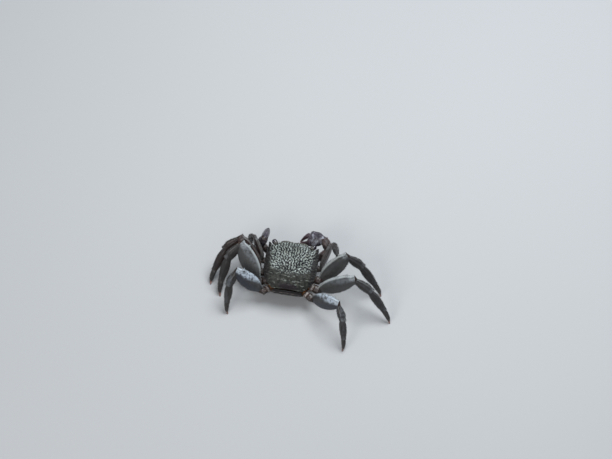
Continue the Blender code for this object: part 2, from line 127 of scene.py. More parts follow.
# Walking legs, from front to rear
LEG_SIZES = {
    "leg_1": {
        "root": (12.3, 2.1, -11.4), "hip": (19.8, 3.8, -11.2),
        "lengths": (19.5, 9.2, 12.4, 10.2), "broad": 9.2,
    },
    "leg_2": {
        "root": (12.7, -3.6, -11.6), "hip": (20.3, -4.4, -11.4),
        "lengths": (27.0, 12.3, 17.0, 12.3), "broad": 12.0,
    },
    "leg_3": {
        "root": (12.2, -8.6, -11.6), "hip": (20.3, -11.0, -11.4),
        "lengths": (28.6, 12.8, 17.0, 12.5), "broad": 12.4,
    },
    "leg_4": {
        "root": (10.0, -12.6, -11.4), "hip": (16.7, -17.4, -11.2),
        "lengths": (25.0, 10.2, 13.4, 10.8), "broad": 11.2,
    },
}

# How each leg stands (degrees), and its colour: brown (0 grey to 1 red-brown), film (pale dried film,
# and how strong the painted highlights of its edges and knees are), sheen (painted blue-white
# reflection on the upper face, with painted navy shade under it) and olive (0 purple-grey to 1
# olive-brown lower pieces)
LEG_POSES = {
    "leg_1_left": {"heading": 47, "lean": 4, "bends": (120, 16, 10), "look": (0.7, 0.1, 0.0, 0.5)},
    "leg_2_left": {"heading": 7, "lean": 43, "bends": (99, 22, 12), "look": (1.0, 0.0, 0.0, 0.5)},
    "leg_3_left": {"heading": 3, "lean": 43, "bends": (114, 24, 12), "look": (0.2, 0.8, 0.2, 0.8)},
    "leg_4_left": {"heading": -22, "lean": 32, "bends": (109, 18, 9), "look": (0.0, 0.2, 1.0, 1.0)},
    "leg_1_right": {"heading": 63, "lean": 3, "bends": (116, 16, 10), "look": (1.0, 0.05, 0.0, 0.3)},
    "leg_2_right": {"heading": 12, "lean": 28, "bends": (88, 17, 8), "look": (0.1, 0.7, 0.0, 0.0)},
    "leg_3_right": {"heading": -6, "lean": 25, "bends": (63, 22, 12), "look": (0.1, 0.9, 0.2, 0.0)},
    "leg_4_right": {"heading": -41, "lean": 27, "bends": (77, 17, 10), "look": (0.0, 0.2, 1.0, 0.0)},
}
WARM_ROOTS = {"leg_4_left": 1.0, "leg_4_right": 1.0, "leg_3_right": 0.8, "leg_3_left": 0.4}
MERUS_SHAPE = (
    (0.00, 0.00, 0.17, 0.40), (0.09, 0.00, 0.22, 0.52), (0.26, 0.00, 0.41, 0.90),
    (0.48, 0.01, 0.50, 1.00), (0.72, 0.02, 0.46, 0.95), (0.87, 0.03, 0.38, 0.82),
    (1.00, 0.00, 0.28, 0.68),
)
CARPUS_SHAPE = (
    (0.00, 0.00, 0.145, 0.42), (0.16, 0.00, 0.175, 0.62), (0.45, 0.01, 0.235, 0.90),
    (0.78, 0.02, 0.265, 1.00), (1.00, 0.00, 0.215, 0.86),
)
PROPODUS_SHAPE = (
    (0.00, 0.00, 0.145, 0.50), (0.12, 0.00, 0.185, 0.78), (0.40, 0.01, 0.225, 1.00),
    (0.75, 0.00, 0.205, 0.95), (1.00, 0.00, 0.150, 0.74),
)
DACTYL_SHAPE = (
    (0.00, 0.00, 0.115, 0.56), (0.13, 0.01, 0.140, 1.00), (0.42, 0.04, 0.125, 0.88),
    (0.75, 0.04, 0.085, 0.60), (0.93, 0.01, 0.048, 0.32), (1.00, 0.00, 0.036, 0.22),
)
LEG_PIECES = (
    ("merus", MERUS_SHAPE, 0.168), ("carpus", CARPUS_SHAPE, 0.170),
    ("propodus", PROPODUS_SHAPE, 0.145), ("dactyl", DACTYL_SHAPE, 0.105),
)
COXA_SHAPE = ((0.0, 0.84), (0.3, 0.97), (0.9, 0.96))
COXA_HALF = 2.75
COXA_SHARE = 0.23

# Claws
ARM_ROOT = (9.4, 4.3, -13.3)
ARM_POSES = {
    "left": {
        "shoulder": (13.8, 8.2, -13.8), "elbow": (22.8, 14.3, -9.4), "wrist": (20.5, 17.1, -2.5),
        "tip": (21.5, 24.9, -19.2), "edge": (-0.30, 0.80, 0.47), "violet": 0.85,
    },
    "right": {
        "shoulder": (13.8, 8.2, -13.8), "elbow": (23.2, 16.3, -9.6), "wrist": (19.6, 23.3, -7.0),
        "tip": (3.0, 23.0, -15.6), "edge": (0.12, 0.94, 0.32), "violet": 0.0,
    },
}
ISCHIUM_SHAPE = ((0.0, 0.0, 1.5, 1.6), (0.5, 0.0, 1.7, 1.75), (1.0, 0.0, 1.8, 1.8))
ARM_SHAPE = (
    (0.00, 0.0, 1.7, 1.6), (0.15, 0.0, 2.1, 1.9), (0.50, 0.2, 2.8, 2.2),
    (0.80, 0.2, 3.1, 2.4), (1.00, 0.0, 2.5, 2.0),
)
WRIST_SHAPE = (
    (0.00, 0.0, 1.6, 1.5), (0.20, 0.2, 2.5, 2.3), (0.50, 0.3, 3.2, 2.9),
    (0.80, 0.2, 3.1, 2.8), (1.00, 0.0, 2.5, 2.2),
)
ARM_PIECES = (("ischium", ISCHIUM_SHAPE, 0.3), ("merus", ARM_SHAPE, 0.8), ("carpus", WRIST_SHAPE, 0.6))
PALM_SHAPE = (
    (0.0, 0.0, 1.9, 1.6), (1.4, 0.1, 2.9, 1.95), (3.2, 0.1, 4.05, 2.15), (7.0, 0.2, 4.9, 2.3),
    (10.4, 0.1, 4.8, 2.25), (12.0, -1.0, 3.6, 2.0), (13.3, -2.4, 2.2, 1.6),
    (16.0, -2.9, 1.4, 1.25), (18.2, -2.7, 0.95, 0.85), (19.0, -2.4, 0.45, 0.4),
)
FINGER_SHAPE = (
    (11.0, 2.4, 1.3, 1.05), (12.6, 2.6, 1.65, 1.25), (15.2, 1.4, 1.45, 1.1),
    (17.6, -0.3, 1.0, 0.75), (19.0, -1.4, 0.5, 0.45),
)
FINGER_HINGE = ((10.6, 0.0, 2.4), 1.3)      # middle and radius of the palm's hollow for the finger
FINGER_HOLLOW_ROWS = slice(60, 130)

# The camera: where the middle of the back falls in the photo's frame, and the photo's angle
PHOTO_SIZE = (612, 459)
BACK_IN_PHOTO = (290.2, 266.4)
CAMERA_TURN = 9.5
CAMERA_RISE = 64.0
CAMERA_AWAY = 2.0       # metres
PIXELS_PER_METRE = 1490.0
SENSOR = 36.0

# The stage, in metres. Lamps: name, place, size, power and colour
FLOOR_HALF = 4.0
LAMPS = (
    ("sky", (-0.16, -0.30, 0.75), 0.50, 7.0, (0.90, 0.95, 1.0)),
    ("rear", (0.35, 0.50, 0.60), 0.45, 2.0, (1.0, 0.98, 0.95)),
)
LAMP_AIM = (0.0, 0.0, 0.012)
SKY_COLOUR = (0.80, 0.88, 1.0, 1.0)
SKY_STRENGTH = 0.35


# Sums on arrays

def smooth_step(low, high, value):
    """0 below low, 1 above high, and a soft rise between them."""
    share = np.clip((value - low) / (high - low), 0.0, 1.0)
    return share * share * (3.0 - 2.0 * share)


def through(knots, values, at):
    """A smooth curve through values at knots, for any number of columns."""
    knots = np.asarray(knots, float)
    values = np.asarray(values, float)
    at = np.clip(at, knots[0], knots[-1])
    slopes = np.gradient(values, knots, axis=0)
    index = np.clip(np.searchsorted(knots, at, side="right") - 1, 0, len(knots) - 2)
    span = knots[index + 1] - knots[index]
    way = (at - knots[index]) / span
    wide = (-1,) + (1,) * (values.ndim - 1)
    way, span = way.reshape(wide), span.reshape(wide)
    rise = way * way * (3.0 - 2.0 * way)
    start_slope = span * way * (1.0 - way) ** 2 * slopes[index]
    end_slope = span * way * way * (way - 1.0) * slopes[index + 1]
    return (1.0 - rise) * values[index] + rise * values[index + 1] + start_slope + end_slope


def chance(cells, seed):
    """Repeatable numbers from 0 to 1 for whole-number places."""
    weights = np.array((127.1, 311.7, 74.7))[:cells.shape[-1]]
    mixed = np.sin(cells @ weights + 17.3 * seed) * 43758.5453
    return mixed - np.floor(mixed)


def soft_noise(points, size, seed=0.0):
    """Soft swells about size across, from -1 to 1."""
    place = points / size
    low = np.floor(place)
    way = place - low
    way = way * way * (3.0 - 2.0 * way)
    total = 0.0
    for corner in product((0.0, 1.0), repeat=points.shape[-1]):
        share = np.prod(np.where(np.array(corner) > 0.5, way, 1.0 - way), axis=-1)
        total = total + share * chance(low + corner, seed)
    return 2.0 * total - 1.0


def grains(points, size, seed=0.0, fill=0.5):
    """Rounded grains about size apart, from 0 between them to 1 on their tops."""
    place = points / size
    low = np.floor(place)
    count = points.shape[-1]
    nearest = np.full(points.shape[:-1], 9.0)
    for shift in product((-1.0, 0.0, 1.0), repeat=count):
        cell = low + np.array(shift)
        spot = cell + np.stack([chance(cell, seed + number) for number in range(count)], axis=-1)
        nearest = np.minimum(nearest, ((spot - place) ** 2).sum(-1))
    return np.clip(1.0 - nearest / fill ** 2, 0.0, 1.0)


def run_of(gaps):
    """Distances along a line, from the gaps between its points."""
    return np.concatenate(((0.0,), np.cumsum(gaps)))


def ring(count):
    """Even turns round a ring."""
    return 2.0 * pi * np.arange(count) / count


def boxed(wave, power):
    """A sine or cosine drawn towards a square wave, which makes a ring boxier."""
    return np.sign(wave) * np.abs(wave) ** power


def each_ring(values, count):
    """One value for each ring, repeated round it."""
    return np.repeat(values[:, None], count, axis=1)


def waves(place, length):
    """Even waves of a length along a line, from -1 to 1."""
    return np.sin(2.0 * pi * place / length)


def peak(value, width):
    """1 at 0 and a soft fall to both sides."""
    return np.exp(-(value / width) ** 2)


def bump_at(x, y, centre, width, height):
    """A soft mound of a height over a centre, with a width each way."""
    return height * np.exp(-((x - centre[0]) / width[0]) ** 2 - ((y - centre[1]) / width[1]) ** 2)


def channel(x, y, line, width):
    """1 on a line of points and 0 a few widths away from it."""
    nearest = np.full(np.shape(x), 1e9)
    for (x0, y0), (x1, y1) in zip(line, line[1:]):
        run = hypot(x1 - x0, y1 - y0)
        way = np.clip(((x - x0) * (x1 - x0) + (y - y0) * (y1 - y0)) / run ** 2, 0.0, 1.0)
        gap = (x - x0 - way * (x1 - x0)) ** 2 + (y - y0 - way * (y1 - y0)) ** 2
        nearest = np.minimum(nearest, gap)
    return np.exp(-nearest / width ** 2)


# Skins: rings of points that close into a surface

def normals_of(grid):
    """Outward directions over rings of points whose sides run round."""
    around = np.roll(grid, -1, axis=1) - np.roll(grid, 1, axis=1)
    along = np.gradient(grid, axis=0)
    normal = np.cross(around, along)
    normal /= np.linalg.norm(normal, axis=-1, keepdims=True) + 1e-9
    outward = grid - grid.mean(axis=1, keepdims=True)
    return normal if (normal * outward).sum() > 0 else -normal


def raised(grid, height):
    """Rings with each point moved outwards by its height."""
    return grid + normals_of(grid) * height[..., None]


class Skin:
    """A closed surface of rings, in metres, with marks that the materials and the bristles read."""

    def __init__(self, grid, start, end, place, **marks):
        turn = np.array(place.to_3x3())
        shift = np.array(place.translation)
        self.rows, self.sides = grid.shape[:2]
        self.grid = grid @ turn.T * MM + shift
        self.start = np.asarray(start, float) @ turn.T * MM + shift
        self.end = np.asarray(end, float) @ turn.T * MM + shift
        self.marks = {"place": grid, "lie": self.lie(), **marks}

    def lie(self):
        """Directions along the piece, from its first ring to its last."""
        along = np.gradient(self.grid, axis=0)
        return along / (np.linalg.norm(along, axis=-1, keepdims=True) + 1e-12)

    def points(self):
        """Every point, the ends first and last."""
        return np.concatenate((self.start[None], self.grid.reshape(-1, 3), self.end[None]))

    def mark(self, name):
        """One mark on every point."""
        values = np.asarray(self.marks[name], float)
        flat = values.reshape((self.rows * self.sides,) + values.shape[2:])
        return np.concatenate((values[0].mean(0)[None], flat, values[-1].mean(0)[None]))

    def faces(self, first):
        """Corners of every face and their places on the unrolled skin, facing outwards."""
        row, side = np.meshgrid(np.arange(self.rows - 1), np.arange(self.sides), indexing="ij")
        row, side = row.ravel(), side.ravel()
        after = (side + 1) % self.sides
        low, high = 1 + row * self.sides, 1 + (row + 1) * self.sides
        quads = np.stack((low + side, low + after, high + after, high + side), axis=1)
        across = np.stack((side, side + 1, side + 1, side), axis=1) / self.sides
        down = np.stack((row, row, row + 1, row + 1), axis=1) / (self.rows - 1)
        here = np.arange(self.sides)
        there = (here + 1) % self.sides
        last = self.rows * self.sides + 1
        final = 1 + (self.rows - 1) * self.sides
        caps = np.concatenate((
            np.stack((np.zeros_like(here), there + 1, here + 1), axis=1),
            np.stack((np.full_like(here, last), final + here, final + there), axis=1),
        ))
        cap_across = np.concatenate((
            np.stack((here + 0.5, here + 1, here), axis=1),
            np.stack((here + 0.5, here, here + 1), axis=1),
        )) / self.sides
        cap_down = np.concatenate((np.zeros((self.sides, 3)), np.ones((self.sides, 3))))
        points = self.points()
        a, b, c, d = (points[quads[:, corner]] for corner in range(4))
        volume = (a * np.cross(b, c)).sum() + (a * np.cross(c, d)).sum()
        step = 1 if volume > 0 else -1
        faces = (quads[:, ::step] + first).tolist() + (caps[:, ::step] + first).tolist()
        quad_places = np.stack((across, down), axis=-1)[:, ::step].reshape(-1, 2)
        cap_places = np.stack((cap_across, cap_down), axis=-1)[:, ::step].reshape(-1, 2)
        return faces, np.concatenate((quad_places, cap_places))


def mesh_of(name, skins, marks, unrolled=False):
    """One smooth mesh of several skins with their named marks. Unrolled, each has its own strip."""
    points, faces, places, first = [], [], [], 0
    for strip, skin in enumerate(skins):
        skin_faces, skin_places = skin.faces(first)
        points.append(skin.points())
        faces += skin_faces
        places.append((skin_places + (strip, 0.0)) / (len(skins), 1.0))
        first += skin.rows * skin.sides + 2
    mesh = bpy.data.meshes.new(name)
    mesh.from_pydata(np.concatenate(points).tolist(), [], faces)
    for mark in marks.split():
        values = np.concatenate([skin.mark(mark) for skin in skins])
        kind = "FLOAT_VECTOR" if values.ndim == 2 else "FLOAT"
        layer = mesh.attributes.new(mark, kind, "POINT")
        layer.data.foreach_set("vector" if values.ndim == 2 else "value", values.ravel())
    if unrolled:
        layer = mesh.uv_layers.new(name="root")
        layer.data.foreach_set("uv", np.concatenate(places).ravel())
    mesh.shade_smooth()
    return mesh


def added(name, data):
    """A new object in the scene."""
    made = bpy.data.objects.new(name, data)
    bpy.context.scene.collection.objects.link(made)
    return made


def show_mesh(name, mesh, material, node=None):
    """Puts a finished piece in the scene, in place of its plain solid where it has one."""
    piece = added(name, mesh)
    mesh.materials.clear()
    mesh.materials.append(material)
    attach(piece, "root")
    if node:
        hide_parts(node)


def show(name, skins, marks, material, node=None):
    """Puts a finished piece made of skins in the scene."""
    show_mesh(name, mesh_of(name, skins, marks), material, node)


# Frames

def mirrored(place, side):
    """A place of the left half or the right half (across, forward, up), in the body's own axes."""
    return side * place[0], -place[1], place[2]


def body_way(body, way):
    """A direction in the body's own axes, as an array in the scene's axes."""
    return np.array(body.to_3x3() @ Vector(way))


def body_frame():
    """The body's own axes: raised, tipped nose up and centred over the origin."""
    place = Vector((CENTRE_SHIFT[0], CENTRE_SHIFT[1], BACK_HEIGHT)) * MM
    return Matrix.Translation(place) @ Matrix.Rotation(radians(-NOSE_UP), 4, "X")


def frame_along(start, along, edge):
    """A frame at start with X along a limb and Z towards its upper edge."""
    along = along.normalized()
    edge = (edge - along * edge.dot(along)).normalized()
    across = edge.cross(along)
    turn = Matrix((along, across, edge)).transposed().to_4x4()
    return Matrix.Translation(start * MM) @ turn


def leg_frames(name, side, body):
    """Frames of a leg's pieces, with the tip of its last piece on the floor."""
    sizes = LEG_SIZES[name.rsplit("_", 1)[0]]
    pose = LEG_POSES[name]
    hip = (body @ (Vector(mirrored(sizes["hip"], side)) * MM)) / MM
    heading = radians(pose["heading"])
    lean = radians(pose["lean"])
    outward = Vector((side * cos(heading), -sin(heading), 0.0))
    forward_line = Vector((-side * sin(heading), -cos(heading), 0.0))
    upward = Vector((0.0, 0.0, cos(lean))) + forward_line * sin(lean)
    turns = list(accumulate(map(radians, pose["bends"]), initial=0.0))
    reach = sum(length * cos(turn) for length, turn in zip(sizes["lengths"], turns))
    drop = sum(length * sin(turn) for length, turn in zip(sizes["lengths"], turns))
    rise = atan2(drop, reach) - asin(hip.z / (hypot(reach, drop) * cos(lean)))
    frames = []
    joint = hip
    for length, turn in zip(sizes["lengths"], turns):
        along = outward * cos(rise - turn) + upward * sin(rise - turn)
        edge = upward * cos(rise - turn) - outward * sin(rise - turn)
        frames.append(frame_along(joint, along, edge))
        joint = joint + along * length
    return frames


def body_limb_frame(body, side, root, tip, edge=(0.0, 0.0, 1.0)):
    """A frame in the body from one place to another, for the left side or the right."""
    start, end = (body @ (Vector(mirrored(place, side)) * MM) for place in (root, tip))
    up = body.to_3x3() @ Vector(mirrored(edge, side))
    return frame_along(start / MM, (end - start) / MM, up)


# Limbs

# The rim of a socket and the hollow inside it: steps from the rim, and sizes beside the limb's end
RIM_STEPS = (-0.10, -0.06, 0.25, 0.9, 1.5)
RIM_SIZES = (1.005, 1.01, 1.015, 1.015, 1.01, 1.0, 0.95, 0.88, 0.82, 0.7, 0.4)
HOLLOW_DEPTH = 1.7
HOLLOW_RINGS = len(RIM_STEPS)


class Limb:
    """The surface of one limb piece: where its points are and what marks they carry.

    Its stations are (along, rise of the middle, half height, half thickness). A socket reaches past
    the last one, and its lower edge is cut back. A joint's skin meets the piece at its neck, a share
    of its rows.
    """

    def __init__(self, stations, rows, sides, end="socket", reach=0.9, cut=0.0, neck=0.09):
        table = np.array(stations, float)
        first, last = table[0], table[-1]
        self.length = last[0]
        head = 0.5 * (first[2] + first[3])
        foot = 0.35 * (last[2] + last[3])
        turns = np.linspace(0.0, 0.5 * pi, 9)[1:-1]
        head_x = first[0] - head * np.cos(turns)
        head_size = np.sin(turns)
        body_x = np.linspace(first[0], last[0], rows)
        if end == "socket":
            rim = last[0] + 0.5 * foot + reach
            end_x = np.concatenate((np.linspace(last[0], rim, 7)[1:], rim - np.array(RIM_STEPS)))
            end_size = np.array(RIM_SIZES)
            self.end_x = rim - HOLLOW_DEPTH
        else:
            tip_turns = np.linspace(0.5 * pi, 0.0, 10)[1:-1]
            end_x = last[0] + foot * np.cos(tip_turns)
            end_size = np.sin(tip_turns)
            self.end_x = last[0] + foot
        x = np.concatenate((head_x, body_x, end_x))
        size = np.concatenate((head_size, np.ones(rows), end_size))
        inside = np.zeros(len(x))
        if end == "socket":
            inside[-HOLLOW_RINGS:] = 1.0
        shape = through(table[:, 0], table[:, 1:], x)
        self.x = each_ring(x, sides)
        self.around = np.repeat(ring(sides)[None], len(x), axis=0)
        self.inside = each_ring(inside, sides)
        self.high = shape[:, 1, None] * size[:, None]
        self.thick = shape[:, 2, None] * size[:, None]
        self.middle = shape[:, 0, None]
        self.rim_row = len(x) - HOLLOW_RINGS
        self.neck_row = len(head_x) + int(neck * rows)
        self.cut = cut
        self.start_x = first[0] - head
        self.start_z = first[1]
        self.end_z = last[1]

    def share(self):
        """How far along the piece each point is, from 0 to 1."""
        return self.x / self.length

    def flat(self):
        """Places on the piece seen from its side."""
        return np.stack((self.x, self.high * np.cos(self.around)), axis=-1)

    def keel(self, angle, width):
        """A ridge along the limb at an angle from its upper edge, on both faces."""
        return peak(np.abs((self.around + pi) % (2.0 * pi) - pi) - angle, width)

    def grid(self, height=0.0):
        """Rings of the piece, raised by its relief."""
        slant = smooth_step(0.82 * self.length, self.x[self.rim_row, 0], self.x)
        slant = np.maximum(slant, self.inside)
        back = self.cut * slant * (0.5 - 0.5 * np.cos(self.around)) ** 1.3
        grid = np.stack((
            self.x - back,
            self.thick * np.sin(self.around),
            self.middle + self.high * np.cos(self.around),
        ), axis=-1)
        return raised(grid, height * (1.0 - self.inside))

    def skin(self, place, height=0.0, **marks):
        """The skin of the piece, placed by its frame."""
        grid = self.grid(height)
        start = (self.start_x, 0.0, self.start_z)
        end = (self.end_x - 0.5 * self.cut, 0.0, self.end_z)
        ones = np.ones_like(self.x)
        marks = {name: values * ones for name, values in marks.items()}
        return Skin(grid, start, end, place, share=np.clip(self.share(), 0.0, 1.0),
                    upper=np.cos(self.around), inside=self.inside, **marks)


JOINT_SIDES = 48
JOINT_BULGE = 0.1


def narrowed(points, share):
    """A ring of a joint: fewer points of a ring, drawn towards its middle."""
    points = points.mean(0) + (points - points.mean(0)) * share
    return points[(np.arange(JOINT_SIDES) * len(points)) // JOINT_SIDES]


def joint_skin(skin, limb, next_skin, next_limb):
    """The soft skin of a joint, from a piece's rim to the neck of the next."""
    rim = narrowed(skin.grid[limb.rim_row], 0.93)
    neck = narrowed(next_skin.grid[next_limb.neck_row], 0.97)
    rolled = [np.roll(neck, turn, axis=0) for turn in range(JOINT_SIDES)]
    neck = min(rolled, key=lambda other: np.linalg.norm(rim - other, axis=1).sum())
    way = np.linspace(0.0, 1.0, 11)[:, None, None]
    rings = (1.0 - way) * rim + way * neck
    outward = rings - rings.mean(axis=1, keepdims=True)
    outward /= np.linalg.norm(outward, axis=-1, keepdims=True) + 1e-9
    folds = JOINT_BULGE * MM * np.sin(pi * way) * (1.0 + 0.35 * np.cos(6.0 * pi * way))
    rings = rings + outward * folds
    return Skin(rings / MM, rim.mean(0) / MM, neck.mean(0) / MM, Matrix.Identity(4),
                share=each_ring(way[:, 0, 0], JOINT_SIDES))


# Trees of nodes

class Tree:
    """A tree of nodes, with one method that adds a node of any type."""

    def node(self, kind, settings=None, inputs=None):
        """Any node: its settings first, then the values or links of its sockets."""
        made = self.tree.nodes.new(kind)
        for setting, value in (settings or {}).items():
            setattr(made, setting, value)
        for socket, value in (inputs or {}).items():
            self.join(value, made.inputs[socket])
        return made

    def join(self, value, socket):
        """Sets a socket, or links a number or another node's socket to it."""
        if isinstance(value, Number):
            value = value.socket
        if isinstance(value, bpy.types.NodeSocket):
            self.tree.links.new(value, socket)
        elif socket.type == "RGBA":
            socket.default_value = (*value, 1.0)
        else:
            socket.default_value = value


class Number:
    """A number in a tree of nodes. Sums on it add their nodes to the tree."""

    def __init__(self, owner, socket):
        self.owner = owner
        self.socket = socket

    def sum(self, operation, *values):
        """One Math node."""
        node = self.owner.node("ShaderNodeMath", {"operation": operation}, dict(enumerate(values)))
        return Number(self.owner, node.outputs[0])

    def __add__(self, other):
        return self.sum("ADD", self, other)

    def __mul__(self, other):
        return self.sum("MULTIPLY", self, other)

    def __sub__(self, other):
        return self.sum("SUBTRACT", self, other)

    def __rsub__(self, other):
        return self.sum("SUBTRACT", other, self)

    def __truediv__(self, other):
        return self.sum("DIVIDE", self, other)

    def __rtruediv__(self, other):
        return self.sum("DIVIDE", other, self)

    def __pow__(self, other):
        return self.sum("POWER", self, other)

    __radd__ = __add__
    __rmul__ = __mul__

    def size(self):
        """The number without its sign."""
        return self.sum("ABSOLUTE", self)

    def wave(self):
        """Sine of the number, from -1 to 1."""
        return self.sum("SINE", self)

    def step(self, low, high):
        """0 below low, 1 above high, and a soft rise between them."""
        settings = {"interpolation_type": "SMOOTHSTEP"}
        node = self.owner.node("ShaderNodeMapRange", settings, {0: self, 1: low, 2: high})
        return Number(self.owner, node.outputs[0])


# Materials

class Paint(Tree):
    """One material, painted in layers over places in millimetres that the mesh carries."""

    def __init__(self, name, roughness=0.4, on_mesh=True, **fixed):
        self.material = bpy.data.materials.new(name)
        self.material.use_nodes = True
        self.tree = self.material.node_tree
        self.shader = self.tree.nodes["Principled BSDF"]
        for socket, value in {"Roughness": roughness, **fixed}.items():
            self.shader.inputs[socket.replace("_", " ")].default_value = value
        self.place = self.attribute("place", "Vector") if on_mesh else self.object_place()
        self.colour = None

    def object_place(self):
        """Places in metres from the middle of the floor."""
        return self.node("ShaderNodeTexCoord").outputs["Object"]

    def attribute(self, name, output):
        """An output of what the mesh carries under a name."""
        return self.node("ShaderNodeAttribute", {"attribute_name": name}).outputs[output]

    def mark(self, name):
        """A mark that the mesh carries, as a number."""
        return Number(self, self.attribute(name, "Fac"))

    def stretched(self, scale):
        """The place with each of its axes scaled."""
        node = self.node("ShaderNodeMapping", None, {"Vector": self.place, "Scale": scale})
        return node.outputs["Vector"]

    def axis(self, index, place=None):
        """One coordinate of a place."""
        node = self.node("ShaderNodeSeparateXYZ", None, {0: place or self.place})
        return Number(self, node.outputs[index])

    def noise(self, scale, detail=3.0, rough=0.6, bend=0.0, place=None):
        """Soft cloudy noise from about 0 to 1."""
        node = self.node("ShaderNodeTexNoise", None, {
            "Vector": place or self.place, "Scale": scale, "Detail": detail,
            "Roughness": rough, "Distortion": bend,
        })
        return Number(self, node.outputs["Fac"])

    def cells(self, scale, feature="F1"):
        """Distance to the nearest of many scattered spots, or to the edge between them."""
        inputs = {"Vector": self.place, "Scale": scale}
        node = self.node("ShaderNodeTexVoronoi", {"feature": feature}, inputs)
        return Number(self, node.outputs["Distance"])

    def blend(self, share, first, second):
        """A colour between two colours."""
        node = self.node("ShaderNodeMix", {"data_type": "RGBA"}, {0: share, 6: first, 7: second})
        return node.outputs[2]

    def drift(self, cloud, first, second, low=0.3, high=0.7):
        """A colour that goes from one to another as a cloud rises from low to high."""
        return self.blend(cloud.step(low, high), first, second)

    def cover(self, share, colour):
        """Lays a colour over what is painted so far, as strongly as the share says."""
        self.colour = self.blend(share, self.colour, colour)

    def finish(self, height=None, strength=0.5, distance=0.0, roughness=None):
        """The material, with its colour, its roughness and relief too fine for the mesh (metres)."""
        self.join(self.colour, self.shader.inputs["Base Color"])
        if roughness:
            self.join(roughness, self.shader.inputs["Roughness"])
        if height:
            inputs = {"Height": height, "Strength": strength, "Distance": distance}
            self.join(self.node("ShaderNodeBump", None, inputs).outputs["Normal"],
                      self.shader.inputs["Normal"])
        return self.material

    def fine_finish(self, low, rise, strength, distance, scale=3.0):
        """The material with an even fine grit in its relief and roughness."""
        fine = self.noise(scale)
        return self.finish(fine, strength, distance, low + fine * rise)


# Waves of the mottling: direction in degrees, length in millimetres, start and strength
MAZE_WAVES = (
    (4, 1.75, 0.3, 1.1), (28, 1.55, 1.9, 1.1), (57, 1.7, 4.1, 1.0), (88, 2.1, 5.2, 0.9),
    (119, 1.7, 2.7, 1.0), (148, 1.6, 0.9, 1.1), (174, 1.9, 3.6, 1.0),
)


def maze(paint, across, forward):
    """Winding bands of one width, above 0 and below 0. They spread like a fan from the middle."""
    bend = paint.noise(0.55, 1.0, 0.5)
    twist = paint.noise(0.8, 1.0, 0.5, place=paint.stretched((-1.0, 1.0, 1.0)))
    ahead = forward + 3.0
    away = (across * across + ahead * ahead + 6.0) ** 0.5
    fan_across, fan_forward = across / away, ahead / away
    total = 0.0
    for angle, length, start, strength in MAZE_WAVES:
        turn = 2.0 * pi / length
        aim, lift = cos(radians(angle)), sin(radians(angle))
        along = across * (aim * turn) + forward * (lift * turn)
        wave = (along + bend * (5.0 + start) + twist * (7.0 - start) + start).wave()
        spread = fan_forward * aim - fan_across * lift
        total = total + wave * (spread * spread * 1.3 + 0.35) * strength
    return total


